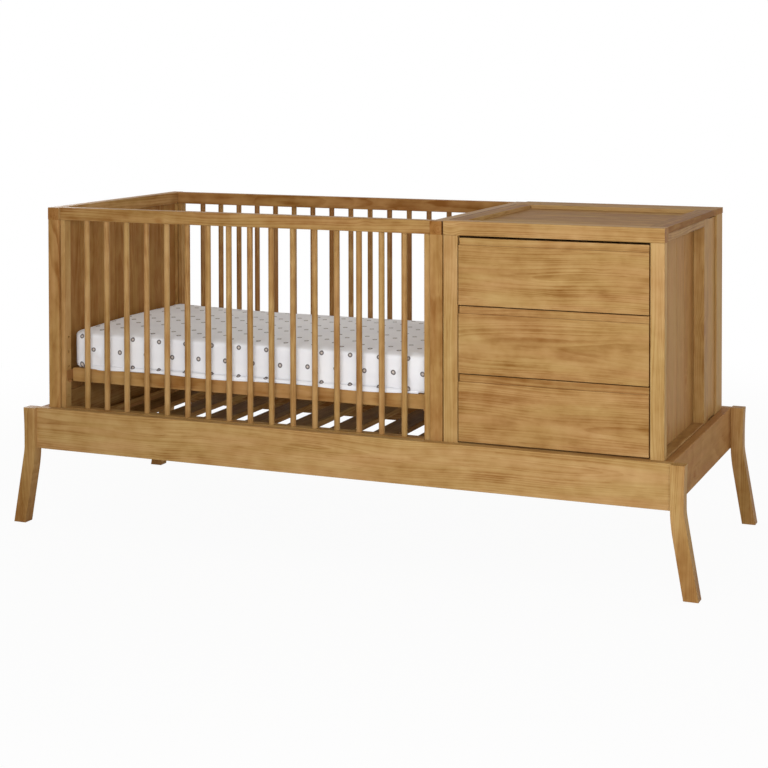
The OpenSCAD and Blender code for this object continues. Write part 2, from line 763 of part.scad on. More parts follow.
// The top frame's front rail is deeper than the stiles: the sides are notched round it.
module front_rail_notch()
    box_between([chest_x - bit, -bit, chest_top - top_front_h], [right_face + bit, top_front_w, chest_top]);

module link_bolt_holes()
    for (at = link_bolt_at)
        rod_x([mid_x + end_t - link_bolt_grip, at[0], at[1]],
            link_bolt_grip + chest_gap + side_t + bit, bolt_d + 2 * bolt_gap);

module chest_left_side() in_frame() color(plywood)
    difference() {
        box_between([chest_x, chest_stile_t, deck_h], [chest_x + side_t, chest_back_y, top_low]);
        front_rail_notch();
        link_bolt_holes();
    }

module chest_stiles() in_frame() color(pine) {
    stile_top = chest_top - top_front_h;
    timber_z([chest_x, 0, deck_h], [chest_x + chest_left_stile_w, chest_stile_t, stile_top]);
    timber_z([right_face - chest_right_stile_w, 0, deck_h], [right_face, chest_stile_t, stile_top]);
}

module chest_bottom_rail() in_frame() color(pine)
    timber_x([chest_x + chest_left_stile_w, 0, deck_h],
        [right_face - chest_right_stile_w, chest_stile_t, ledge_h], board_edge_r);

module chest_bottom_panel() in_frame() color(plywood)
    box_between([chest_x + side_t, chest_stile_t, deck_h],
        [right_board_x0, chest_back_y - back_panel_t, deck_h + bottom_t]);

module chest_back_panel() in_frame() color(plywood)
    box_between([chest_x + side_t, chest_back_y - back_panel_t, deck_h],
        [right_board_x1, chest_back_y, top_low]);

module chest_right_boards() in_frame() color(pine_dark)
    difference() {
        translate([right_board_x0, 0, 0])
            board_row(right_joints, right_board_t, deck_h, tray_top - tray_t - bit);
        front_rail_notch();
    }

module chest_right_rails() in_frame() color(pine_dark) {
    timber_y([right_board_x1, top_front_w, right_rail_low], [right_face, mid_post_y, top_low]);
    timber_y([right_board_x1, chest_stile_t, deck_h],
        [right_face, mid_post_y, ledge_h + right_low_rail_rise], board_edge_r);
}

module chest_middle_post() in_frame() color(pine)
    difference() {
        timber_z([right_board_x1, mid_post_y, deck_h], [right_face, mid_post_y + mid_post_d, top_low]);
        rear_panel_groove();
    }

module rear_panel_groove()
    box_between([rear_panel_x0 - groove_gap, mid_post_y + mid_post_d - groove_d, deck_h - bit],
        [rear_panel_x0 + right_board_t + groove_gap, corner_post_y + groove_d, top_low + bit]);

module chest_rear_panel() in_frame() color(pine_dark)
    box_between([rear_panel_x0, mid_post_y + mid_post_d - groove_d + groove_gap, deck_h],
        [rear_panel_x0 + right_board_t, corner_post_y + groove_d - groove_gap, top_low - rear_slot]);

module chest_corner_post() in_frame() color(pine)
    difference() {
        timber_z([right_board_x1, corner_post_y, deck_h], [right_face, chest_back_y, top_low]);
        rear_panel_groove();
    }

// The tray's panel sits in a rebate under the frame.
module tray_rebate()
    box_between([chest_x + top_side_w - tray_lap - groove_gap, top_front_w - tray_lap - groove_gap,
        tray_top - tray_t - groove_gap],
        [right_face - top_side_w + tray_lap + groove_gap,
        body_d - top_back_w + tray_lap + groove_gap, tray_top]);

module top_front_rail() in_frame() color(pine_light)
    difference() {
        timber_x([chest_x, 0, chest_top - top_front_h], [right_face, top_front_w, chest_top]);
        tray_rebate();
    }

module top_side_rails() in_frame() color(pine_light)
    difference() {
        for (x = [chest_x, right_face - top_side_w])
            timber_y([x, top_front_w, top_low],
                [x + top_side_w, body_d - top_back_w, chest_top], board_edge_r);
        tray_rebate();
    }

module top_back_rail() in_frame() color(pine_light)
    difference() {
        timber_x([chest_x, body_d - top_back_w, top_low], [right_face, body_d, chest_top], board_edge_r);
        tray_rebate();
    }

module changing_tray() in_frame() color(pine_light)
    box_between([chest_x + top_side_w - tray_lap, top_front_w - tray_lap, tray_top - tray_t],
        [right_face - top_side_w + tray_lap, body_d - top_back_w + tray_lap, tray_top]);

/* Drawers. k = 0 is the top drawer. */

function front_z(k) = drawers_top - front_h - k * (front_h + drawer_gap);

module runner_packers() in_frame() color(pine_dark)
    for (k = [0:drawer_n - 1])
        box_between([packer_x0, chest_stile_t, front_z(k) + runner_mid - packer_h / 2],
            [packer_x1, runner_y + runner_len, front_z(k) + runner_mid + packer_h / 2]);

// A channel open towards +X, its back at x = 0.
module channel(depth, height, length)
    difference() {
        cube([depth, length, height]);
        translate([sheet_t, -bit, sheet_t])
            cube([depth, length + 2 * bit, height - 2 * sheet_t]);
    }

module cabinet_runners() in_frame() color(steel)
    for (k = [0:drawer_n - 1]) {
        z = front_z(k) + runner_mid - runner_h / 2;
        translate([packer_x1, runner_y, z])
            channel(runner_t - sheet_t - runner_gap, runner_h, runner_len);
        translate([right_board_x0, runner_y, z])
            mirror([1, 0, 0])
                channel(runner_t - sheet_t - runner_gap, runner_h, runner_len);
    }

module drawer_slides(k) in_frame() color(steel) {
    z = front_z(k) + runner_mid - slide_h / 2;
    slide_depth = runner_t - sheet_t - runner_gap;
    translate([box_x0, runner_y, z])
        mirror([1, 0, 0])
            channel(slide_depth, slide_h, runner_len);
    translate([box_x1, runner_y, z])
        channel(slide_depth, slide_h, runner_len);
}

// The front has a finger pull: its top edge lies back over the full width.
module drawer_front(k) in_frame() color(pine) {
    z = front_z(k);
    union() {
        timber_x([drawer_x0, 0, z], [drawer_x1, front_t, z + front_h - pull_h + board_edge_r], board_edge_r);
        timber_x([drawer_x0 + 1, pull_d, z + board_edge_r + 2], [drawer_x1 - 1, front_t, z + front_h],
            board_edge_r);
    }
}

// The box is open at the top; its bottom lies in a groove all round.
module drawer_box(k) in_frame() color(plywood) {
    z = front_z(k) + box_lift;
    low = z + box_bottom_lift;
    difference() {
        box_between([box_x0, front_t, z], [box_x1, front_t + box_len, z + box_h]);
        box_between([box_x0 + box_t, front_t + box_t, z - bit],
            [box_x1 - box_t, front_t + box_len - box_t, z + box_h + bit]);
        box_between([box_x0 + box_t - box_groove, front_t + box_t - box_groove, low - groove_gap],
            [box_x1 - box_t + box_groove, front_t + box_len - box_t + box_groove,
            low + box_bottom_t + groove_gap]);
    }
}

module drawer_bottom(k) in_frame() color(plywood) {
    low = front_z(k) + box_lift + box_bottom_lift;
    in = box_t - box_groove + groove_gap;
    box_between([box_x0 + in, front_t + in, low], [box_x1 - in, front_t + box_len - in, low + box_bottom_t]);
}

front_apron();
back_apron();
side_aprons();
front_legs();
back_legs();
corner_blocks();
leg_bolts();
deck_ledgers();
deck_slats();
left_end_top_rail();
left_end_posts();
left_end_boards();
left_end_bottom_rail();
middle_end_top_rail();
middle_end_posts();
middle_end_boards();
middle_end_bottom_rail();
front_gate_top_rail();
front_gate_bottom_rail();
front_gate_stiles();
front_gate_spindles();
back_gate_top_rail();
back_gate_bottom_rail();
back_gate_stiles();
back_gate_spindles();
frame_bolts();
support_pegs();
support_long_rails();
support_end_rails();
support_slats();
support_hangers();
mattress();
chest_left_side();
chest_stiles();
chest_bottom_rail();
chest_bottom_panel();
chest_back_panel();
chest_right_boards();
chest_right_rails();
chest_middle_post();
chest_rear_panel();
chest_corner_post();
top_front_rail();
top_side_rails();
top_back_rail();
changing_tray();
runner_packers();
cabinet_runners();
drawer_front(0);  // drawer_top_front
drawer_box(0);  // drawer_top_box
drawer_bottom(0);  // drawer_top_bottom
drawer_slides(0);  // drawer_top_slides
drawer_front(1);  // drawer_middle_front
drawer_box(1);  // drawer_middle_box
drawer_bottom(1);  // drawer_middle_bottom
drawer_slides(1);  // drawer_middle_slides
drawer_front(2);  // drawer_bottom_front
drawer_box(2);  // drawer_bottom_box
drawer_bottom(2);  // drawer_bottom_bottom
drawer_slides(2);  // drawer_bottom_slides
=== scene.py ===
# %% [markdown]
# # A pine crib with its changing chest
# The crib and a chest with three drawers stand in one long base with splayed legs. The timbers come
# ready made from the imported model. This lesson gives them their wood, lays a soft mattress with a
# printed sheet on its slats, and sets up the light and the camera of a plain product photograph.
# All lengths are in metres.

import math

import bmesh
import bpy
import numpy as np
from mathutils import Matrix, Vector


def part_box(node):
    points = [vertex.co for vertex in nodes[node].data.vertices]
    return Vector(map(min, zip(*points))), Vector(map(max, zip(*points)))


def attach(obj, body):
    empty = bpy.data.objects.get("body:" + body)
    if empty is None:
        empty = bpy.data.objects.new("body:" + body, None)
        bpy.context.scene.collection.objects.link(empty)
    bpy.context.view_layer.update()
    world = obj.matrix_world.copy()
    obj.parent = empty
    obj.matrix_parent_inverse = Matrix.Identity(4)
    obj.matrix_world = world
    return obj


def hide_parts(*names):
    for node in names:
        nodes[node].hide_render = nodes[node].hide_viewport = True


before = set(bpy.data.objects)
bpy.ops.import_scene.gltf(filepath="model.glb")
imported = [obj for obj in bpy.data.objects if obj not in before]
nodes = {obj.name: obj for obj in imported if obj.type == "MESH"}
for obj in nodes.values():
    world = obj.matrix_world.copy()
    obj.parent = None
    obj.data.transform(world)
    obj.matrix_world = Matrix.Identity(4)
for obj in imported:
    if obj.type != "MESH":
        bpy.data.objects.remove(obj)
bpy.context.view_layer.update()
X, Y, Z = 0, 1, 2

# %% [markdown]
# ## The camera
# A product photograph of long furniture is often taken with a view camera: the camera stands high and
# to the right, looks almost level, and its lens is shifted so that uprights stay parallel. Blender's
# camera has the same shift. Turning the camera down instead would make the legs lean together.

# %% Place the shifted camera
PICTURE = 768  # pixels on each side of the picture
LENS_CENTRE = (500.0, 110.8)  # the pixel that the lens points at
FOCAL_PIXELS = 1562.3
CAMERA_PLACE = (2.2077, -4.8107, 1.5173)
CAMERA_TILT_DOWN = 1.3  # degrees, as the turn is
CAMERA_TURN = 20.43
SENSOR = 36.0  # millimetres
CAMERA_SEES_TO = 200

lens = bpy.data.cameras.new("studio_camera")
lens.sensor_width = SENSOR
lens.lens = FOCAL_PIXELS * SENSOR / PICTURE
lens.shift_x = (PICTURE / 2 - LENS_CENTRE[0]) / PICTURE
lens.shift_y = (LENS_CENTRE[1] - PICTURE / 2) / PICTURE
lens.clip_end = CAMERA_SEES_TO
camera = bpy.data.objects.new("studio_camera", lens)
camera.location = CAMERA_PLACE
camera.rotation_euler = (math.radians(90 - CAMERA_TILT_DOWN), 0, math.radians(CAMERA_TURN))
bpy.context.collection.objects.link(camera)
bpy.context.scene.camera = camera
bpy.context.scene.view_settings.view_transform = "Standard"
print("lens", round(lens.lens, 1), "mm, shift", round(lens.shift_x, 3), round(lens.shift_y, 3))

# %% [markdown]
# ## Small helpers for node materials
# A material here is a chain of small sums on the place of each point. The helpers add a node or two
# each and return an output, so a formula reads from left to right instead of as a list of links.

# %% Helpers for numbers and places
def new_material(name):
    """An empty material: returns it with its tree and its Principled shader."""
    material = bpy.data.materials.new(name)
    material.use_nodes = True
    tree = material.node_tree
    return material, tree, tree.nodes["Principled BSDF"]


def put(tree, socket, value):
    """Links an output socket, or writes a plain number or colour."""
    if isinstance(value, bpy.types.NodeSocket):
        tree.links.new(value, socket)
    else:
        socket.default_value = value


def math_node(tree, operation, *values):
    """One Math node on up to three values."""
    node = tree.nodes.new("ShaderNodeMath")
    node.operation = operation
    for socket, value in zip(node.inputs, values):
        put(tree, socket, value)
    return node.outputs[0]


def add(tree, total, *values):
    """A sum of two or more values."""
    for value in values:
        total = math_node(tree, "ADD", total, value)
    return total


def multiply(tree, first, second):
    """The product of two values."""
    return math_node(tree, "MULTIPLY", first, second)


def hypotenuse(tree, first, second):
    """The square root of the sum of two squares."""
    return math_node(tree, "SQRT", add(tree, multiply(tree, first, first), multiply(tree, second, second)))


def centred(tree, value, size):
    """Moves a 0-to-1 value to the range around zero, and scales it."""
    return math_node(tree, "MULTIPLY_ADD", value, size, -size / 2)


def map_range(tree, value, low, high, to_low, to_high, smooth=False):
    """Maps a value from one range to another and clamps it there."""
    node = tree.nodes.new("ShaderNodeMapRange")
    node.interpolation_type = "SMOOTHSTEP" if smooth else "LINEAR"
    for socket, number in zip(node.inputs, (value, low, high, to_low, to_high)):
        put(tree, socket, number)
    return node.outputs["Result"]


def combine(tree, x, y, z):
    """Three values as one vector."""
    node = tree.nodes.new("ShaderNodeCombineXYZ")
    for socket, value in zip(node.inputs, (x, y, z)):
        put(tree, socket, value)
    return node.outputs[0]


def split(tree, vector):
    """The three parts of a vector."""
    node = tree.nodes.new("ShaderNodeSeparateXYZ")
    put(tree, node.inputs[0], vector)
    return list(node.outputs)


def object_place(tree):
    """The three coordinates of a point on a piece."""
    return split(tree, tree.nodes.new("ShaderNodeTexCoord").outputs["Object"])


def surface_normal(tree):
    """The three parts of the way that the surface looks."""
    return split(tree, tree.nodes.new("ShaderNodeNewGeometry").outputs["Normal"])

# %% Helpers for noise, colour and bumps
def noise(tree, place, waves, detail=2.0, shift=0.0):
    """Smooth noise from 0 to 1, with a number of waves per metre along each part of a place.

    The shift moves it along the first part, so that two noises don't look alike.
    """
    scaled = [math_node(tree, "MULTIPLY_ADD", part, count, start)
              for part, count, start in zip(place, waves, (shift, 0.0, 0.0))]
    node = tree.nodes.new("ShaderNodeTexNoise")
    put(tree, node.inputs["Vector"], combine(tree, *scaled))
    node.inputs["Scale"].default_value = 1.0
    node.inputs["Detail"].default_value = detail
    return node.outputs["Fac"]


def colour_from(red, green, blue):
    """A colour as seen on a screen, 0 to 255, turned into the linear values that shaders use."""
    def linear(value):
        value = value / 255
        return value / 12.92 if value <= 0.04045 else ((value + 0.055) / 1.055) ** 2.4
    return (linear(red), linear(green), linear(blue), 1.0)


def mix_colour(tree, factor, first, second, blend="MIX"):
    """Two colours mixed by a factor."""
    node = tree.nodes.new("ShaderNodeMix")
    node.data_type = "RGBA"
    node.blend_type = blend
    put(tree, node.inputs["Factor"], factor)
    put(tree, node.inputs["A"], first)
    put(tree, node.inputs["B"], second)
    return node.outputs["Result"]


def tinted(tree, colour, tint, share=1.0):
    """A colour multiplied by a tint, by the share of it that is wanted at each point."""
    return mix_colour(tree, share, colour, tint, "MULTIPLY")


def raise_bump(tree, shader, height, strength, distance):
    """Makes the light see heights: a height of 1 stands a distance high, times the strength."""
    bump = tree.nodes.new("ShaderNodeBump")
    bump.inputs["Strength"].default_value = strength
    bump.inputs["Distance"].default_value = distance
    put(tree, bump.inputs["Height"], height)
    put(tree, shader.inputs["Normal"], bump.outputs[0])

# %% [markdown]
# ## Lacquered pine
# A board is a slice of a trunk, so its figure is a cut through growth rings. The distance of each
# point from a wavy pith line beside the board gives its ring, and the fraction of a ring gives pale
# early wood or darker late wood. One formula then gives arches on a wide face, lines on an edge and
# arcs on the end grain. An image would be quicker, but its lines would break at every edge.
#
# Every other trait of the wood is a noise that is long along the fibres and short across them. The
# table lists them all: a trait's waves per metre along and across, its detail, and its shift.

# %% Where a point lies in its board
GRAIN = {
    "pith_wander": (1.3, 0, 1, 0), "pith_rise": (1, 0, 1, 40), "ring_ripple": (5, 45, 2, 0),
    "streaks": (3, 38, 2, 0), "lines": (9, 150, 2, 31), "stain": (16, 24, 2, 7),
    "fibres": (60, 600, 2, 3), "rings_show": (2.2, 9, 1, 11), "warmth": (3, 22, 1, 50),
    "flecks": (15, 170, 1, 23),
}
TRUNK_LENGTH = 10.0  # each board comes from its own place along a trunk of this length
ROW_LUCK_SPREAD = 17.3  # keeps two nodes with rows from drawing the same numbers


def node_box(node):
    """A node's lowest and highest corners, as arrays."""
    return [np.array(corner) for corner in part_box(node)]


def third_axis(first, second):
    """The axis that is neither of two."""
    return X + Y + Z - first - second


class Board:
    """The place of a point in its board: length, side and depth, and the board's three lucky numbers.

    A row rule gives the axis, first edge and pitch of several boards in one node. Each of them then
    has its own luck, and its own middle line where they lie side by side.
    """

    def __init__(self, tree, node, along, face, rows, seed):
        low, high = node_box(node)
        centre = (low + high) / 2
        across = third_axis(along, face)
        self.tree = tree
        self.place = object_place(tree)
        self.luck = list(np.random.default_rng(seed).random(3))
        self.side = math_node(tree, "SUBTRACT", self.place[across], centre[across])
        self.depth = math_node(tree, "SUBTRACT", self.place[face], centre[face])
        if rows is not None:
            axis, first, pitch = rows(node)
            index = math_node(tree, "FLOOR", math_node(tree, "DIVIDE",
                math_node(tree, "SUBTRACT", self.place[axis], first), pitch))
            draw = tree.nodes.new("ShaderNodeTexWhiteNoise")
            draw.noise_dimensions = "1D"
            put(tree, draw.inputs["W"], add(tree, index, ROW_LUCK_SPREAD * self.luck[0]))
            self.luck = split(tree, draw.outputs["Color"])
            if axis == across:
                middle = math_node(tree, "MULTIPLY_ADD", index, pitch, first + pitch / 2)
                self.side = math_node(tree, "SUBTRACT", self.place[across], middle)
        self.length = math_node(tree, "MULTIPLY_ADD", self.luck[0], TRUNK_LENGTH, self.place[along])

    def grain(self, trait):
        """The noise of one trait in the table."""
        along, across, detail, shift = GRAIN[trait]
        return noise(self.tree, (self.length, self.side, self.depth), (along, across, across), detail, shift)

# %% Growth rings and knots
PITH_BESIDE = 0.11  # the pith lies within this width about the board's middle
PITH_WANDER = 0.07
PITH_UNDER = 0.018  # the pith's least depth, to which luck adds
PITH_UNDER_LUCK = 0.05
PITH_RISE = 0.12
KNOT_CELL = (0.19, 0.152, 0.95)  # room for one branch: along, across and into the board
KNOT_SHARE = 0.3
RING_WIDTH = 0.0085
RING_DRIFT = 4.0  # in rings, as the ripple is
RING_RIPPLE = 0.7
DRIFT_WAVES = 55
LATE_RISES = (0.15, 0.8)  # in shares of a ring
LATE_FALLS = (0.86, 1.0)


def pith_distance(board):
    """Distance from a pith line that wanders beside the board and rises and falls under its face."""
    tree = board.tree
    side = add(tree, board.side, centred(tree, board.luck[1], PITH_BESIDE),
        centred(tree, board.grain("pith_wander"), PITH_WANDER))
    under = math_node(tree, "MULTIPLY_ADD", board.luck[2], PITH_UNDER_LUCK, PITH_UNDER)
    depth = add(tree, under, board.depth, centred(tree, board.grain("pith_rise"), PITH_RISE))
    return hypotenuse(tree, side, depth)


def knot_field(board):
    """Distance to the nearest branch, and 1 where that cell of the trunk really has one."""
    tree = board.tree
    cell = [math_node(tree, "DIVIDE", part, size)
            for part, size in zip((board.length, board.side, board.depth), KNOT_CELL)]
    branch = tree.nodes.new("ShaderNodeTexVoronoi")
    branch.inputs["Scale"].default_value = 1.0
    put(tree, branch.inputs["Vector"], combine(tree, *cell))
    distance = multiply(tree, branch.outputs["Distance"], KNOT_CELL[0])
    chosen = math_node(tree, "LESS_THAN", split(tree, branch.outputs["Color"])[0], KNOT_SHARE)
    return distance, chosen


def late_wood(board, radius):
    """0 in early wood, rising to 1 at the ring's dark edge, with drifting widths and soft edges."""
    tree = board.tree
    drift = noise(tree, (radius, board.luck[0], 0.0), (DRIFT_WAVES, 1, 1), 1.0)
    ring = math_node(tree, "DIVIDE", radius, RING_WIDTH)
    ring = math_node(tree, "MULTIPLY_ADD", drift, RING_DRIFT, ring)
    ring = math_node(tree, "MULTIPLY_ADD", board.grain("ring_ripple"), RING_RIPPLE, ring)
    phase = math_node(tree, "FRACT", ring)
    rise = map_range(tree, phase, *LATE_RISES, 0, 1, smooth=True)
    fall = map_range(tree, phase, *LATE_FALLS, 1, 0, smooth=True)
    return multiply(tree, rise, fall)

# %% The tone of a board
MEAN_TONE = 0.45
FIGURE_SIZES = {"streaks": 0.76, "lines": 0.18, "stain": 0.74}
FIBRE_SIZE = 0.16
LUCK_SIZE = 0.22
RINGS_FAINT, RINGS_CLEAR = 0.08, 0.31
PATCH = (0.35, 0.65)  # between these values of a noise a patch fades in


def band(board, axis, middle, half, soft, amount):
    """An amount within half of a plane across an axis, which fades out over the soft distance."""
    away = math_node(board.tree, "ABSOLUTE", math_node(board.tree, "SUBTRACT", board.place[axis], middle))
    return map_range(board.tree, away, half, half + soft, amount, 0.0, smooth=True)


def board_tone(board, late, fibres, tone, figure, bands):
    """How dark a point is: the mean, plus the board's tone and luck, its fibres, figure and bands.

    The figure is streaks, lines and cloudy stain, each around zero, and the rings where they show.
    Some tones and bands are painted shade or painted light.
    """
    tree = board.tree
    total = add(tree, MEAN_TONE + tone, centred(tree, board.luck[1], LUCK_SIZE),
        centred(tree, fibres, FIBRE_SIZE))
    for trait, size in FIGURE_SIZES.items():
        total = add(tree, total, centred(tree, board.grain(trait), size * figure))
    showing = map_range(tree, board.grain("rings_show"), *PATCH, RINGS_FAINT * figure, RINGS_CLEAR * figure)
    total = math_node(tree, "MULTIPLY_ADD", late, showing, total)
    return add(tree, total, *(band(board, *measures) for measures in bands))

# %% The colours of pine
PALE_WOOD = colour_from(188, 155, 105)
PLAIN_WOOD = colour_from(170, 133, 83)
DARK_WOOD = colour_from(134, 91, 44)
KNOT_WOOD = colour_from(92, 54, 26)
PALE_AT, PLAIN_AT, DARK_AT = 0.1, 0.52, 1.0
GOLDEN_CAST = (1.0, 1.01, 0.94, 1.0)
ROSY_CAST = (1.03, 0.98, 0.98, 1.0)
FLECK_TINT = (0.62, 0.45, 0.28, 1.0)
FLECK = (0.66, 0.76, 0, 0.35)  # from and to this noise, from and to this strength
HALO_TINT = (0.66, 0.44, 0.26, 1.0)
HALO = (0.005, 0.026, 0.6, 0)  # from and to this distance of a branch, from and to this strength
CORE = (0.0035, 0.0055, 0.8, 0)


def wood_colour(board, tone):
    """Pale, plain and dark pine by tone, in golden and rosy patches, with thin dark flecks."""
    tree = board.tree
    ramp = tree.nodes.new("ShaderNodeValToRGB")
    stops = ramp.color_ramp.elements
    stops[0].position, stops[0].color = PALE_AT, PALE_WOOD
    stops[1].position, stops[1].color = DARK_AT, DARK_WOOD
    stops.new(PLAIN_AT).color = PLAIN_WOOD
    put(tree, ramp.inputs[0], tone)
    warmth = map_range(tree, board.grain("warmth"), *PATCH, 0, 1)
    colour = tinted(tree, ramp.outputs[0], mix_colour(tree, warmth, GOLDEN_CAST, ROSY_CAST))
    return tinted(tree, colour, FLECK_TINT, map_range(tree, board.grain("flecks"), *FLECK))


def with_knots(tree, colour, branch, has_branch):
    """The wood's colour with a brown halo round each branch, and its dark core."""
    halo = multiply(tree, map_range(tree, branch, *HALO, smooth=True), has_branch)
    core = multiply(tree, map_range(tree, branch, *CORE), has_branch)
    return mix_colour(tree, core, tinted(tree, colour, HALO_TINT, halo), KNOT_WOOD)

# %% The pine material
BRANCH_REACH = 0.05  # how far round a branch the rings bend, and by how much
BRANCH_BEND = 0.014
END_FACING = 0.7  # a surface that looks this much along the fibres is end grain
DARK_ENDS = (0.78, 0.64, 0.5, 1.0)
PALE_ENDS = (0.95, 0.92, 0.86, 1.0)
# The colour of the painted shadow along the seam between the crib and the chest.
PAINTED_SEAM_SHADOW = (0.3, 0.22, 0.16, 1.0)
SATIN = 0.035
LACQUER = (0.2, 0.9, 0.5, 0.38)  # from and to this tone, from and to this roughness
LATE_STANDS = 0.4
FIBRE_BUMP = (0.15, 0.0005)  # strength and distance


def pine(node, seed, along, face, rows=None, tone=0.0, figure=1.0, tint=None, ends=DARK_ENDS,
         gloss=SATIN, bands=(), seam=None):
    """Wood whose fibres run along one axis, with its flat-sawn face across another axis."""
    material, tree, shader = new_material("pine_" + node)
    board = Board(tree, node, along, face, rows, seed)
    branch, has_branch = knot_field(board)
    bend = multiply(tree, map_range(tree, branch, 0, BRANCH_REACH, 1, 0, smooth=True), has_branch)
    late = late_wood(board, math_node(tree, "MULTIPLY_ADD", bend, BRANCH_BEND, pith_distance(board)))
    fibres = board.grain("fibres")
    darkness = board_tone(board, late, fibres, tone, figure, bands)

    colour = with_knots(tree, wood_colour(board, darkness), branch, has_branch)
    facing = math_node(tree, "ABSOLUTE", surface_normal(tree)[along])
    colour = tinted(tree, colour, ends, math_node(tree, "GREATER_THAN", facing, END_FACING))
    if tint is not None:
        colour = tinted(tree, colour, tint)
    # A painted shadow along the seam between the crib and the chest.
    if seam is not None:
        colour = tinted(tree, colour, PAINTED_SEAM_SHADOW, band(board, *seam, 1.0))
    put(tree, shader.inputs["Base Color"], colour)

    # A satin lacquer: darker wood is a little glossier, and the fibres stand up a hair.
    put(tree, shader.inputs["Roughness"], map_range(tree, darkness, *LACQUER))
    shader.inputs["Specular IOR Level"].default_value = gloss
    raise_bump(tree, shader, math_node(tree, "MULTIPLY_ADD", late, LATE_STANDS, fibres), *FIBRE_BUMP)
    return material

# %% [markdown]
# ## Which way each timber grows
# A rail's fibres run along it, and a wide board shows its flat-sawn face, so every timber has a fibre
# axis and a face axis. Where one node holds several boards, a row rule tells the material where one
# board ends and the next begins. No two timbers are alike either, so a row of the table may say more:
#
# - tone makes a timber darker above 0 and paler below, and tint leans its colour. Parts that get
#   less light, such as the back gate, the deck, the left end's inside and the chest's top, get a
#   darker tone as painted shade, and every tint here is a rosy painted bounce of warm light in shade;
# - figure is the strength of its drawing, and gloss is how much its lacquer reflects;
# - ends is the tint of its end grain, which drinks more oil than the faces do;
# - bands are stretches with another tone: the chest's left stile is darker and its right stile paler;
#   the legs are darker towards their feet as painted shade, and the tray's walls paler as painted light;
# - a seam is a painted shadow along the step and joint between the crib and the chest.

# %% Row rules
def even(axis, count=2):
    """Boards that share a node's box evenly. Two are one timber at each end of it."""
    def rule(node):
        low, high = node_box(node)
        return axis, low[axis], (high[axis] - low[axis]) / count
    return rule


def every(pitch, axis, margin):
    """Boards at a pitch, counted from a margin before the node's box."""
    def rule(node):
        return axis, node_box(node)[0][axis] - margin, pitch
    return rule


SPINDLE_PITCH = 0.078
SPINDLE_THICK = 0.019
DECK_PITCH = 0.161
DECK_MARGIN = 0.032
SIDE_BOARD_PITCH = 0.104
SIDE_BOARD_MARGIN = 0.056
END_BOARDS = 7
SUPPORT_SLATS = 12
TRAY_BOARDS = 6
SPINDLES = every(SPINDLE_PITCH, X, (SPINDLE_PITCH - SPINDLE_THICK) / 2)

# %% Bands and seams
TOP_SIDE_WIDTH = 0.06  # the flat part of a side rail, beside the tray's wall
STILE_REACH = 0.08  # a little more than a stile's width
SKIN = 0.0006  # a band this thin colours only the wall itself
crib_end = node_box("middle_end_top_rail")[1][X]
chest_left, chest_right = (corner[X] for corner in node_box("top_side_rails"))
stile_left, stile_right = (corner[X] for corner in node_box("chest_stiles"))
tray_back = node_box("top_back_rail")[0][Y]
# The measures of a band: axis, middle, half width, soft distance, tone.
# Painted shade: the legs grow darker towards their feet.
front_foot_shade = (Z, 0.0, 0.02, 0.26, 0.36)
back_foot_shade = (Z, 0.0, 0.02, 0.26, 0.1)
# Painted light: the tray's walls are paler, which lifts the shade in its recess.
left_wall_painted_light = (X, chest_left + TOP_SIDE_WIDTH, SKIN, SKIN, -0.6)
right_wall_painted_light = (X, chest_right - TOP_SIDE_WIDTH, SKIN, SKIN, -0.6)
back_wall_painted_light = (Y, tray_back, SKIN, SKIN, -0.55)
left_stile = (X, stile_left, STILE_REACH, 0.01, 0.12)
right_stile = (X, stile_right, STILE_REACH, 0.01, -0.12)
# The measures of a seam's painted shadow: axis, middle, half width, soft distance.
# Painted shadow of the step where the crib's rail meets the chest's top.
crib_seam = (X, crib_end, 0.0025, 0.001)
chest_seam = (X, chest_left, 0.005, 0.003)
print("the crib ends at", round(crib_end, 3), "and the chest's top starts at", round(chest_left, 3))

# %% Give every timber its wood
MATT = 0.008


def wood(along, face, **more):
    """One timber's settings for the pine material."""
    return dict(along=along, face=face, **more)


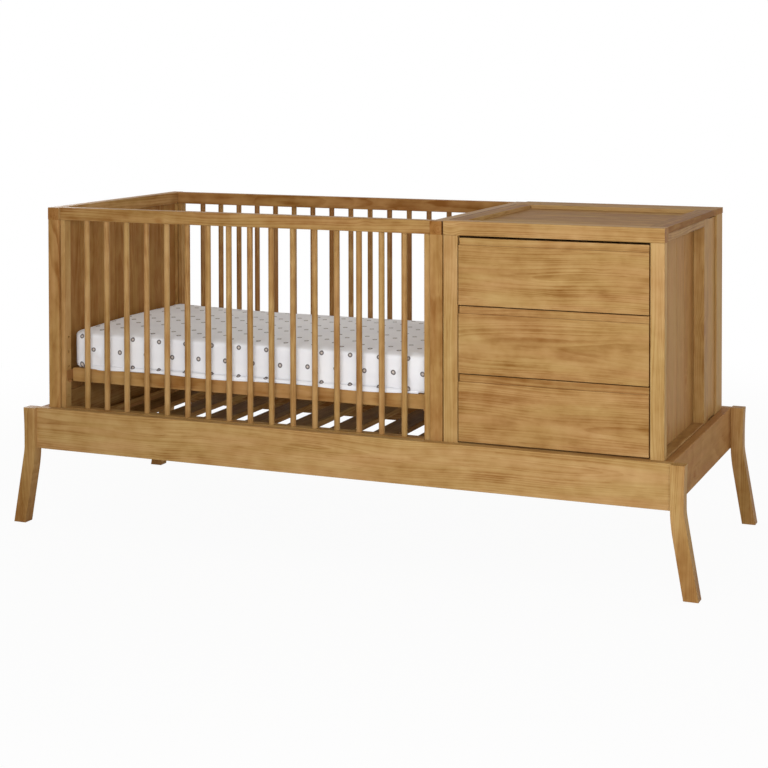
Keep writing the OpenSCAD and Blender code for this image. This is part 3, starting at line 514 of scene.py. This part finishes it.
timber = {
    "front_apron": wood(X, Y, tone=-0.09),
    "back_apron": wood(X, Y),
    # Painted shade on the side aprons: a darker tone, and a rosy tint of warm bounce light.
    "side_aprons": wood(Y, X, rows=even(X), tone=0.24, figure=0.45, gloss=MATT, tint=(1.02, 0.95, 1.0, 1)),
    "front_legs": wood(Z, Y, rows=even(X), figure=0.8, ends=PALE_ENDS, bands=[front_foot_shade]),
    "back_legs": wood(Z, Y, rows=even(X), tone=0.2, figure=0.8, ends=PALE_ENDS, bands=[back_foot_shade]),
    "corner_blocks": wood(Z, Y, rows=even(X)),
    "deck_ledgers": wood(X, Y, rows=even(Y), tone=0.3),
    # Painted shade: the deck slats are darker under the mattress.
    "deck_slats": wood(Y, Z, rows=every(DECK_PITCH, X, DECK_MARGIN), tone=0.15, gloss=0.006),
    "support_long_rails": wood(X, Y, rows=even(Y), tone=0.08, tint=(1.01, 0.97, 0.97, 1)),
    "support_end_rails": wood(Y, X, rows=even(X), tone=0.3),
    "support_slats": wood(Y, Z, rows=even(X, SUPPORT_SLATS), tone=0.3),
    "chest_stiles": wood(Z, Y, rows=even(X), tone=-0.2, bands=[left_stile, right_stile]),
    "chest_bottom_rail": wood(X, Y),
    # Painted shade on the chest's right side: rosy tints of warm bounce light, and darker tones on its
    # boards and rails.
    "chest_right_boards": wood(Z, X, rows=every(SIDE_BOARD_PITCH, Y, SIDE_BOARD_MARGIN), tone=0.08,
                               figure=0.45, tint=(1.01, 0.96, 0.95, 1)),
    "chest_right_rails": wood(Y, X, rows=even(Z), tone=0.16),
    "chest_middle_post": wood(Z, X),
    "chest_rear_panel": wood(Z, X, figure=0.45, tint=(1.0, 0.97, 0.95, 1)),
    "chest_corner_post": wood(Z, X, figure=0.6),
    "top_front_rail": wood(X, Z, tone=-0.1),
    # Painted shade: the top side rails and the tray are darker, as the chest's top gets less light than its
    # front.
    "top_side_rails": wood(Y, Z, rows=even(X), tone=0.36, gloss=MATT, bands=[left_wall_painted_light, right_wall_painted_light],
                           seam=chest_seam),
    "top_back_rail": wood(X, Z, tone=0.05, gloss=0.01, bands=[back_wall_painted_light]),
    "changing_tray": wood(X, Z, rows=even(Y, TRAY_BOARDS), tone=0.14, gloss=MATT),
    "runner_packers": wood(Y, X),
    "left_end_top_rail": wood(Y, Z),
    # Painted shade: the left end's posts and boards are darker and rosier, where little light reaches them.
    "left_end_posts": wood(Z, Y, rows=even(Y), tone=0.14, tint=(1.01, 0.97, 0.93, 1)),
    "left_end_boards": wood(Z, X, rows=even(Y, END_BOARDS), tone=0.3, figure=0.55,
                            tint=(1.01, 0.97, 0.92, 1)),
    "left_end_bottom_rail": wood(Y, X, tone=0.4),
    # A painted shadow along its seam with the chest.
    "middle_end_top_rail": wood(Y, Z, tone=0.16, seam=crib_seam),
    "middle_end_posts": wood(Z, Y, rows=even(Y), tone=0.14, tint=(1.0, 0.97, 0.95, 1)),
    "middle_end_boards": wood(Z, X, rows=even(Y, END_BOARDS), figure=0.55),
    "middle_end_bottom_rail": wood(Y, X),
    "front_gate_top_rail": wood(X, Y, tone=0.2),
    "front_gate_bottom_rail": wood(X, Y),
    "front_gate_stiles": wood(Z, Y, rows=even(X)),
    "front_gate_spindles": wood(Z, Y, rows=SPINDLES, tone=-0.03, gloss=0.1),
    # Painted shade: the back gate is darker and its top rail rosier, deep in the crib's shade.
    "back_gate_top_rail": wood(X, Y, tone=0.2, tint=(1.0, 0.94, 0.9, 1)),
    "back_gate_bottom_rail": wood(X, Y, tone=0.3),
    "back_gate_stiles": wood(Z, Y, rows=even(X)),
    "back_gate_spindles": wood(Z, Y, rows=SPINDLES, tone=0.3, gloss=0.15),
    "drawer_top_front": wood(X, Y),
    "drawer_middle_front": wood(X, Y),
    "drawer_bottom_front": wood(X, Y),
}


def dress(node, material):
    """Gives every slot of a CAD node one material."""
    for slot in nodes[node].material_slots:
        slot.material = material


for seed, (node, look) in enumerate(timber.items()):
    dress(node, pine(node, seed, **look))
print("timbers dressed:", len(timber))

# %% [markdown]
# ## Plywood, and steel
# The drawer boxes and the chest's hidden panels are birch plywood: paler, with a quiet grain and the
# dark lines of its plies on the edges. Bolts and runners are zinc-plated steel, which is grey, a
# little uneven and half glossy. The support's hangers and pegs are painted in the wood's brown.

# %% The plywood material
VENEER_PALE = colour_from(206, 172, 122)
VENEER_DARK = colour_from(178, 140, 92)
VENEER_WAVES = (3, 70, 5)
VENEER_ROUGH = (0.2, 0.8, 0.62, 0.5)  # from and to this noise, from and to this roughness
SOFT_PATCH = (0.3, 0.7)
PLY_DARK = colour_from(140, 98, 58)
PLY_STRENGTH = 0.5
TWO_PLIES = 0.004


def plywood(node, along, face):
    """Quiet birch veneer with fine fibres; its plies show as lines where the edge looks out."""
    material, tree, shader = new_material("plywood_" + node)
    place = object_place(tree)
    across = third_axis(along, face)
    streaks = noise(tree, (place[along], place[across], place[face]), VENEER_WAVES, 4.0)
    colour = mix_colour(tree, map_range(tree, streaks, *SOFT_PATCH, 0, 1), VENEER_PALE, VENEER_DARK)
    depth = math_node(tree, "SUBTRACT", place[face], node_box(node)[0][face])
    phase = math_node(tree, "FRACT", math_node(tree, "DIVIDE", depth, TWO_PLIES))
    is_second = math_node(tree, "GREATER_THAN", phase, 0.5)
    is_edge = math_node(tree, "LESS_THAN", math_node(tree, "ABSOLUTE", surface_normal(tree)[face]), 0.5)
    dark_ply = multiply(tree, multiply(tree, is_second, is_edge), PLY_STRENGTH)
    put(tree, shader.inputs["Base Color"], mix_colour(tree, dark_ply, colour, PLY_DARK))
    put(tree, shader.inputs["Roughness"], map_range(tree, streaks, *VENEER_ROUGH))
    return material


panels = {"chest_left_side": (Z, X), "chest_back_panel": (Z, Y), "chest_bottom_panel": (X, Z)}
for drawer in ("drawer_top", "drawer_middle", "drawer_bottom"):
    panels[drawer + "_box"] = panels[drawer + "_bottom"] = (X, Z)
for node, (along, face) in panels.items():
    dress(node, plywood(node, along, face))
print("plywood panels dressed:", len(panels))

# %% The steel material
CLOUD_WAVES = (90, 90, 90)
STEEL_ROUGH = (0.3, 0.7, 0.34, 0.5)
ZINC_DARK, ZINC_LIGHT = colour_from(150, 151, 154), colour_from(196, 197, 200)
PAINT_DARK, PAINT_LIGHT = colour_from(132, 90, 48), colour_from(150, 106, 60)


def steel(name, dark, light, metallic):
    """Plated or painted steel: soft cloudy patches change its colour a little, and its gloss."""
    material, tree, shader = new_material(name)
    clouds = noise(tree, object_place(tree), CLOUD_WAVES, 3.0)
    put(tree, shader.inputs["Base Color"], mix_colour(tree, clouds, dark, light))
    put(tree, shader.inputs["Roughness"], map_range(tree, clouds, *STEEL_ROUGH))
    shader.inputs["Metallic"].default_value = metallic
    return material


plated = steel("zinc_plating", ZINC_DARK, ZINC_LIGHT, 1.0)
plated_nodes = ["leg_bolts", "frame_bolts", "cabinet_runners",
                "drawer_top_slides", "drawer_middle_slides", "drawer_bottom_slides"]
for node in plated_nodes:
    dress(node, plated)
painted = steel("brown_painted_steel", PAINT_DARK, PAINT_LIGHT, 0.0)
painted_nodes = ["support_pegs", "support_hangers"]
for node in painted_nodes:
    dress(node, painted)
print("steel nodes dressed:", len(plated_nodes) + len(painted_nodes))

# %% [markdown]
# ## The mattress
# A foam mattress in a fitted sheet is a rounded slab: its long sides pull in between the corners and
# its top has a low crown. It could be a cube with a bevel, but cloth never lies that straight. Here a
# closed surface is worked out first, then Blender's cloth, blown up a little from inside, gives the
# sheet its tension and its soft hollows.

# %% The outline of the mattress
SEAM_IN = 0.003  # the cloth starts this far inside the solid, because it swells
CORNER_R = 0.045
LOWER_R = 0.014
UPPER_R = 0.010
CROWN = 0.006
TILT = 0.006
ARC_POINTS = 9
POINT_STEP = 0.014
mattress_low, mattress_high = node_box("mattress")
mattress_mid = (mattress_low + mattress_high) / 2
half_size = (mattress_high - mattress_low) / 2 - np.array([SEAM_IN, SEAM_IN, 0])
slab_height = 2 * half_size[Z] - CROWN - TILT
print("slab:", (2 * half_size[:2]).round(3), "and", round(slab_height, 3), "high")


def slab_outline():
    """A rectangle with round corners, as corner centres and directions.

    A point is its corner's centre plus the corner radius along its direction; on straight stretches
    the centre moves and the direction stays.
    """
    angle = (np.pi / 2) * np.arange(ARC_POINTS) / (ARC_POINTS - 1)
    centre, turn = [], []
    signs = np.array([[1, 1], [-1, 1], [-1, -1], [1, -1]])
    reach = half_size[:2] - CORNER_R
    for quarter, sign in enumerate(signs):
        following = signs[(quarter + 1) % 4]
        centre.append(np.tile(sign * reach, (ARC_POINTS, 1)))
        turn.append(angle + quarter * np.pi / 2)
        count = int(np.linalg.norm((following - sign) * reach) / POINT_STEP)
        share = (np.arange(1, count) / count)[:, None]
        centre.append(sign * reach * (1 - share) + following * reach * share)
        turn.append(np.full(count - 1, (quarter + 1) * np.pi / 2))
    turn = np.concatenate(turn)
    return np.concatenate(centre), np.stack([np.cos(turn), np.sin(turn)], axis=1)

# %% The mattress as a surface
EDGE_STEPS = 6
SIDE_STEPS = 7
TOP_STEPS = 22
SIDE_DRAW = 0.003
PLUMP = 0.012
PUFF = 0.010
FULL_FROM = 0.1  # in half lengths left of the middle
FOLD = 0.0022
FOLD_PITCH = 0.052
FOLDS_FROM, FOLDS_WITHIN = 0.72, 0.2  # in half lengths from the middle
SIDE_WAVE = 0.0012
SIDE_WAVE_PITCH = 0.37
RIM_POWER = 8  # keeps what moves the sides away from the middle of the top


def slab_rings():
    """Rings of the outline, as (x, y), with their levels: over the lower edge, up the side, over the
    upper edge, and in to the middle of the top."""
    centre, direction = slab_outline()
    turn = np.linspace(0, np.pi / 2, EDGE_STEPS)
    lower = np.stack([LOWER_R * (1 - np.sin(turn)), LOWER_R * (1 - np.cos(turn))], axis=1)
    climb = np.linspace(LOWER_R, slab_height - UPPER_R, SIDE_STEPS)[1:-1]
    side = np.stack([np.zeros(len(climb)), climb], axis=1)
    upper = np.stack([UPPER_R * (1 - np.cos(turn)), slab_height - UPPER_R * (1 - np.sin(turn))], axis=1)
    profile = np.concatenate([lower, side, upper])
    rim = centre[None] + direction[None] * (CORNER_R - profile[:, 0])[:, None, None]
    shrink = 1 - np.linspace(0, 1, TOP_STEPS)[1:]
    top = rim[-1][None] * shrink[:, None, None]
    level = np.concatenate([profile[:, 1], np.full(len(shrink), slab_height)])
    return np.concatenate([rim, top]), level[:, None]


def mattress_surface():
    """The slab's rings, moved so that it looks filled. Here x and y run from -1 to 1.

    Side hollow: the side moves in by SIDE_DRAW times the cosine squared of the way along it.
    Crown: the top rises by CROWN (1 - x^6) (1 - y^2), and it rises by TILT towards the front.
    Fuller left end: with s from 0 just left of the middle to 1 at the end, the top rises by
    PLUMP s^2 (1 + y) / 2 + PUFF s^2 (1 - y^2).
    Folds: near the ends the side moves by a sine of the way along, which fades out with height, and
    all along it by a slow sine.
    """
    ring_xy, level = slab_rings()
    x, y = (np.clip(ring_xy[..., axis] / half_size[axis], -1, 1) for axis in (X, Y))
    share = np.clip(level / slab_height, 0, 1)
    leftward = np.clip((-x - FULL_FROM) / (1 - FULL_FROM), 0, 1) ** 2
    rise = TILT * (1 - y) / 2 + leftward * (PLUMP * (1 + y) / 2 + PUFF * (1 - y ** 2))
    on_top = level >= slab_height - 1e-6
    height = level + rise * share + on_top * CROWN * (1 - x ** 6) * (1 - y ** 2)
    near_end = np.clip((np.abs(x) - FOLDS_FROM) / FOLDS_WITHIN, 0, 1)
    fold = FOLD * near_end * np.sin(ring_xy[..., X] * 2 * np.pi / FOLD_PITCH + 1.0)
    fold = fold * (1 - share) + SIDE_WAVE * np.sin(ring_xy[..., X] * 2 * np.pi / SIDE_WAVE_PITCH)
    draw_x = SIDE_DRAW * np.cos(np.pi / 2 * y) ** 2
    draw_y = SIDE_DRAW * np.cos(np.pi / 2 * x) ** 2 + fold
    ring_xy[..., X] -= np.sign(x) * draw_x * np.abs(x) ** RIM_POWER
    ring_xy[..., Y] -= np.sign(y) * draw_y * np.abs(y) ** RIM_POWER
    return np.concatenate([ring_xy, height[..., None]], axis=2)


def closed_mesh(name, grid):
    """Quads between neighbouring rings; the first ring closes on one point, the last is a point."""
    rings, count, _ = grid.shape
    i = np.arange(count)
    j = (i + 1) % count
    k = np.arange(rings - 2)[:, None] * count
    quads = np.stack([k + i, k + j, k + count + j, k + count + i], axis=2).reshape(-1, 4)
    last = (rings - 2) * count
    verts = np.concatenate([grid[:-1].reshape(-1, 3), [grid[0].mean(axis=0)], [grid[-1].mean(axis=0)]])
    under = np.stack([j, i, np.full(count, last + count)], axis=1)
    over = np.stack([last + i, last + j, np.full(count, last + count + 1)], axis=1)
    mesh = bpy.data.meshes.new(name)
    mesh.from_pydata(verts.tolist(), [], quads.tolist() + under.tolist() + over.tolist())
    mesh.update()
    return mesh


slab = mattress_surface() + np.array([mattress_mid[X], mattress_mid[Y], mattress_low[Z]])
mattress = bpy.data.objects.new("mattress_in_sheet", closed_mesh("mattress_in_sheet", slab))
bpy.context.collection.objects.link(mattress)
print("mattress rings and points:", slab.shape[:2])

# %% [markdown]
# ## Tension in the sheet
# The cloth starts a little small and swells against its own stretch for 20 frames with gravity off.
# The slats press it flat below, so the underside goes back to its level afterwards, and no point may
# move further than a cap, which keeps the mattress between the gates.

# %% Blow the mattress up a little
VOXEL = 0.006
CLOTH_FRAMES = 20
CLOTH_PRESSURE = 4.0
MOVE_CAP = 0.005
UNDERSIDE = 0.006  # points up to this high over the slats keep their level


def positions(mesh):
    """The mesh's points as rows."""
    flat = np.empty(len(mesh.vertices) * 3)
    mesh.vertices.foreach_get("co", flat)
    return flat.reshape(-1, 3)


def apply_modifier(piece, name):
    """Bakes one modifier into the mesh."""
    with bpy.context.temp_override(object=piece, active_object=piece, selected_objects=[piece]):
        bpy.ops.object.modifier_apply(modifier=name)


def swell(piece):
    """Remesh, run the cloth, cap the movement, keep the underside flat."""
    remesh = piece.modifiers.new("even_mesh", "REMESH")
    remesh.mode = "VOXEL"
    remesh.voxel_size = VOXEL
    apply_modifier(piece, "even_mesh")
    before = positions(piece.data)
    cloth = piece.modifiers.new("sheet", "CLOTH")
    cloth.settings.use_pressure = True
    cloth.settings.uniform_pressure_force = CLOTH_PRESSURE
    cloth.settings.effector_weights.gravity = 0.0
    cloth.collision_settings.use_collision = False
    for step in range(1, CLOTH_FRAMES + 1):
        bpy.context.scene.frame_set(step)
    apply_modifier(piece, "sheet")
    bpy.context.scene.frame_set(1)
    move = positions(piece.data) - before
    distance = np.linalg.norm(move, axis=1, keepdims=True)
    after = before + move * np.minimum(1.0, MOVE_CAP / np.maximum(distance, 1e-9))
    under = before[:, Z] < mattress_low[Z] + UNDERSIDE
    after[under, Z] = before[under, Z]
    after[:, Z] = np.maximum(after[:, Z], mattress_low[Z])
    piece.data.vertices.foreach_set("co", after.ravel())
    piece.data.update()
    print("cloth wanted to move", round(float(distance.max()) * 1000, 1), "mm at most")


swell(mattress)

# %% [markdown]
# ## The hem in front
# The fitted sheet is drawn tight under the mattress, but in front it sags a few millimetres over the
# support's rail. The sag is a narrow band of cloth, tucked into the side above and open below. Its
# length follows a slow wave, since an elastic hem never hangs level.

# %% Hang the hem
HEM_THICK = 0.0016
HEM_SAG = 0.001
HEM_WAVE = 0.003
HEM_PITCH = 0.516
HEM_WAVE_START = 0.585
HEM_FROM_END = 0.06
HEM_FADE = 0.08
HEM_TUCK = 0.008
HEM_IN = 0.0004
HEM_POINTS = 180
HEM_PATH = [(0.006, 0.013, 0), (0.002, 0.008, 0), (0.0003, 0.003, 0), (0, 0, 0.5), (0.0002, 0, 1)]


def hem_band():
    """Sag below the mattress: HEM_SAG + HEM_WAVE sin(2 pi x / HEM_PITCH), which fades at both ends.

    The path's points, from the tuck to the edge, are how far in, how far up, and the share of the sag.
    """
    x = np.linspace(mattress_low[X] + HEM_FROM_END, mattress_high[X] - HEM_FROM_END, HEM_POINTS)
    fade = np.clip(np.minimum(x - x[0], x[-1] - x) / HEM_FADE, 0, 1)
    sag = fade * (HEM_SAG + HEM_WAVE * np.sin(2 * np.pi * (x + HEM_WAVE_START) / HEM_PITCH))
    front = mattress_low[Y] + HEM_IN
    outer = [(x, front + inward + HEM_TUCK * (1 - fade), mattress_low[Z] + up - drop * sag)
             for inward, up, drop in HEM_PATH]
    inner = [(x, y + HEM_THICK, z) for _, y, z in reversed(outer)]
    return np.stack([np.stack(row, axis=1) for row in outer + inner])


def band_mesh(name, grid):
    """A closed band: the rows run round it, and both ends are capped."""
    rows, count, _ = grid.shape
    i, k = np.meshgrid(np.arange(count - 1), np.arange(rows), indexing="xy")
    after = (k + 1) % rows
    quads = np.stack([k * count + i, k * count + i + 1, after * count + i + 1, after * count + i], axis=2)
    first = np.arange(rows) * count
    mesh = bpy.data.meshes.new(name)
    mesh.from_pydata(grid.reshape(-1, 3).tolist(), [],
        quads.reshape(-1, 4)[:, ::-1].tolist() + [first.tolist(), (first + count - 1)[::-1].tolist()])
    mesh.update()
    return mesh


hem = band_mesh("hem", hem_band())
joined = bmesh.new()
joined.from_mesh(mattress.data)
joined.from_mesh(hem)
bmesh.ops.recalc_face_normals(joined, faces=joined.faces)
joined.to_mesh(mattress.data)
joined.free()
bpy.data.meshes.remove(hem)
mattress.data.polygons.foreach_set("use_smooth", np.ones(len(mattress.data.polygons), dtype=bool))
print("mattress faces:", len(mattress.data.polygons))

# %% [markdown]
# ## The sheet's print
# A fitted sheet is one flat cloth, sewn together at its four corners, so its print runs on from the
# top over each edge. The map measures along the cloth: the way across the top, and past an edge the
# way down the side added to it. Small dark rings stand in staggered rows, a common nursery print.

# %% Measure the cloth for its print
def cloth_map(piece):
    """Each face corner gets (x, y) from the near left edge, with the way down added outwards."""
    mesh = piece.data
    layer = mesh.uv_layers.new(name="cloth")
    vertex = np.empty(len(mesh.loops), dtype=np.int64)
    mesh.loops.foreach_get("vertex_index", vertex)
    sizes = np.empty(len(mesh.polygons), dtype=np.int64)
    mesh.polygons.foreach_get("loop_total", sizes)
    normal = np.empty(len(mesh.polygons) * 3)
    mesh.polygons.foreach_get("normal", normal)
    normal = np.abs(np.repeat(normal.reshape(-1, 3), sizes, axis=0))
    at = positions(mesh)[vertex]
    down = np.clip(mattress_low[Z] + slab_height - at[:, Z], 0, None)
    outward = np.sign(at - mattress_mid)
    is_end = normal[:, X] > normal[:, Y]
    u = at[:, X] - mattress_low[X] + np.where(is_end, outward[:, X] * down, 0)
    v = at[:, Y] - mattress_low[Y] + np.where(is_end, 0, outward[:, Y] * down)
    layer.data.foreach_set("uv", np.stack([u, v], axis=1).astype(np.float32).ravel())
    print("cloth measured:", round(float(np.ptp(u)), 3), "by", round(float(np.ptp(v)), 3), "m")


cloth_map(mattress)

# %% The sheet material
RING_PITCH = 0.101
ROW_PITCH = 0.048
ROWS_START = 0.5  # moves the rows, and keeps the way over the cloth above zero
RING_OUT = 0.0082
RING_IN = 0.0040
INK_SOFT = 0.0006
INK_COVERS = 0.9
SHEET_WHITE = colour_from(244, 246, 251)
SHEET_PAINTED_SHADE = colour_from(234, 236, 243)
RING_INK = colour_from(66, 56, 58)
DOT_INK = colour_from(206, 196, 188)
CREASE_WAVES = (5, 7, 12)
THREAD_PITCH = 0.0009
THREAD_STANDS = 0.008
THREAD_ROUGH = (-1, 1, 0.95, 0.85)
CREASE_BUMP = (0.4, 0.008)


def disc(tree, away, radius):
    """1 inside a radius, 0 outside, with an edge as soft as ink on cotton."""
    return map_range(tree, away, radius - INK_SOFT, radius + INK_SOFT, 1, 0)


def ring_distance(tree, along, over):
    """Distance to the nearest ring's middle, where every second row is moved by half a pitch."""
    row = math_node(tree, "DIVIDE", over, ROW_PITCH)
    is_odd = math_node(tree, "FLOORED_MODULO", math_node(tree, "FLOOR", row), 2)
    column = math_node(tree, "DIVIDE",
        math_node(tree, "MULTIPLY_ADD", is_odd, RING_PITCH / 2, along), RING_PITCH)
    return hypotenuse(tree, centred(tree, math_node(tree, "FRACT", column), RING_PITCH),
        centred(tree, math_node(tree, "FRACT", row), ROW_PITCH))


def threads(tree, way):
    """A sine with one wave for each thread."""
    return math_node(tree, "SINE", multiply(tree, way, 2 * math.pi / THREAD_PITCH))


def printed_sheet(name):
    """White cotton with small rings in staggered rows, faint creases with painted shade along them, and a
    fine weave.
    """
    material, tree, shader = new_material(name)
    cloth_uv = tree.nodes.new("ShaderNodeUVMap")
    cloth_uv.uv_map = "cloth"
    along, over, _ = split(tree, cloth_uv.outputs[0])
    over = add(tree, over, ROWS_START)
    away = ring_distance(tree, along, over)
    creases_and_shade = noise(tree, object_place(tree), CREASE_WAVES, 3.0)
    # Painted shade: the cloth is a little greyer along the creases.
    cloth = mix_colour(tree, map_range(tree, creases_and_shade, *SOFT_PATCH, 0, 1), SHEET_WHITE, SHEET_PAINTED_SHADE)
    cloth = mix_colour(tree, multiply(tree, disc(tree, away, RING_OUT), INK_COVERS), cloth, RING_INK)
    cloth = mix_colour(tree, disc(tree, away, RING_IN), cloth, DOT_INK)
    put(tree, shader.inputs["Base Color"], cloth)
    weave = multiply(tree, threads(tree, along), threads(tree, over))
    put(tree, shader.inputs["Roughness"], map_range(tree, weave, *THREAD_ROUGH))
    height = math_node(tree, "MULTIPLY_ADD", weave, THREAD_STANDS, creases_and_shade)
    raise_bump(tree, shader, height, *CREASE_BUMP)
    shader.inputs["Sheen Weight"].default_value = 0.1
    shader.inputs["Specular IOR Level"].default_value = 0.2
    return material


mattress.data.materials.append(printed_sheet("printed_cotton_sheet"))
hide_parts("mattress")
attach(mattress, "mattress")
print("sheet printed with rings", RING_PITCH, "m apart in rows", ROW_PITCH, "m apart")

# %% [markdown]
# ## Floor and light
# One big soft lamp stands in front, a little to the right and hardly higher than the furniture, so
# the fronts are bright, the chest's side is a shade darker and the tops darker still. Weak lamps
# above, behind and at the left, with a faint warm light from all round, keep the other sides from
# going black. A single bright sky could do the same, but then nothing would look round. The paper
# on the floor shows white to the camera, but it throws back no more light than real paper.

# %% Floor
FLOOR_HALF = 30.0
PAPER_WHITE = colour_from(218, 218, 218)
PAPER_SEEN_NEAR = 0.95  # share of plain white near the object, where the paper keeps its shadow
PAPER_CLEAR_FROM, PAPER_CLEAR_TO = 1.9, 3.6
WHITE = (1.0, 1.0, 1.0, 1.0)
floor_mesh = bpy.data.meshes.new("studio_floor")
corners = np.array([[-1, -1, 0], [1, -1, 0], [1, 1, 0], [-1, 1, 0]]) * FLOOR_HALF
floor_mesh.from_pydata(corners.tolist(), [], [(0, 1, 2, 3)])
floor = bpy.data.objects.new("studio_floor", floor_mesh)
bpy.context.collection.objects.link(floor)


def seen_rays(tree):
    """1 for rays that show a surface to the camera, straight or in metal and glass."""
    path = tree.nodes.new("ShaderNodeLightPath")
    return math_node(tree, "MAXIMUM", path.outputs["Is Camera Ray"],
        math_node(tree, "MAXIMUM", path.outputs["Is Glossy Ray"], path.outputs["Is Transmission Ray"]))


def studio_paper(name):
    """Pale paper that keeps a faint shadow near the object and is even white further out."""
    material, tree, shader = new_material(name)
    shader.inputs["Base Color"].default_value = PAPER_WHITE
    shader.inputs["Roughness"].default_value = 0.9
    shader.inputs["Specular IOR Level"].default_value = 0.1
    glow = tree.nodes.new("ShaderNodeEmission")
    glow.inputs["Color"].default_value = WHITE
    reach = tree.nodes.new("ShaderNodeVectorMath")
    reach.operation = "LENGTH"
    put(tree, reach.inputs[0], tree.nodes.new("ShaderNodeTexCoord").outputs["Object"])
    clear = map_range(tree, reach.outputs["Value"], PAPER_CLEAR_FROM, PAPER_CLEAR_TO,
        PAPER_SEEN_NEAR, 1.0, smooth=True)
    mix = tree.nodes.new("ShaderNodeMixShader")
    put(tree, mix.inputs[0], multiply(tree, seen_rays(tree), clear))
    put(tree, mix.inputs[1], shader.outputs[0])
    put(tree, mix.inputs[2], glow.outputs[0])
    put(tree, tree.nodes["Material Output"].inputs["Surface"], mix.outputs[0])
    return material


floor_mesh.materials.append(studio_paper("studio_paper"))
print("floor:", 2 * FLOOR_HALF, "m square")

# %% World and lamps
AMBIENT = 0.34
WARM_FILL = (1.0, 0.95, 0.87, 1.0)
world = bpy.data.worlds.new("studio_world")
bpy.context.scene.world = world
world.use_nodes = True
world_tree = world.node_tree
background = world_tree.nodes["Background"]
seen = seen_rays(world_tree)
put(world_tree, background.inputs["Color"], mix_colour(world_tree, seen, WARM_FILL, WHITE))
put(world_tree, background.inputs["Strength"], map_range(world_tree, seen, 0, 1, AMBIENT, 1.0))


def soft_lamp(name, place, target, size, level, colour=WHITE):
    """A rectangular area lamp turned to a target, whose light there is a share of full level.

    A lamp of power P gives pi at distance d when P = pi^2 d^2, and that is level 1.
    """
    way = Vector(target) - Vector(place)
    lamp = bpy.data.lights.new(name, "AREA")
    lamp.shape = "RECTANGLE"
    lamp.size, lamp.size_y = size
    lamp.color = colour[:3]
    lamp.energy = level * math.pi ** 2 * way.length_squared
    obj = bpy.data.objects.new(name, lamp)
    obj.location = place
    obj.rotation_euler = way.to_track_quat("-Z", "Y").to_euler()
    obj.visible_camera = False
    bpy.context.collection.objects.link(obj)
    print(name, round(lamp.energy), "W")


soft_lamp("front_softbox", place=(1.6, -4.0, 1.5), target=(0.7, -0.39, 0.7), size=(3.4, 1.8), level=0.84)
soft_lamp("top_softbox", place=(-0.4, 0.0, 3.4), target=(-0.4, 0.0, 0.6), size=(2.4, 1.4), level=0.14,
    colour=WARM_FILL)
soft_lamp("back_softbox", place=(4.6, 3.2, 1.7), target=(0.7, 0.39, 0.7), size=(2.4, 1.8), level=0.22)
soft_lamp("left_softbox", place=(-4.6, 2.8, 1.7), target=(-0.7, 0.39, 0.7), size=(2.4, 1.8), level=0.34)
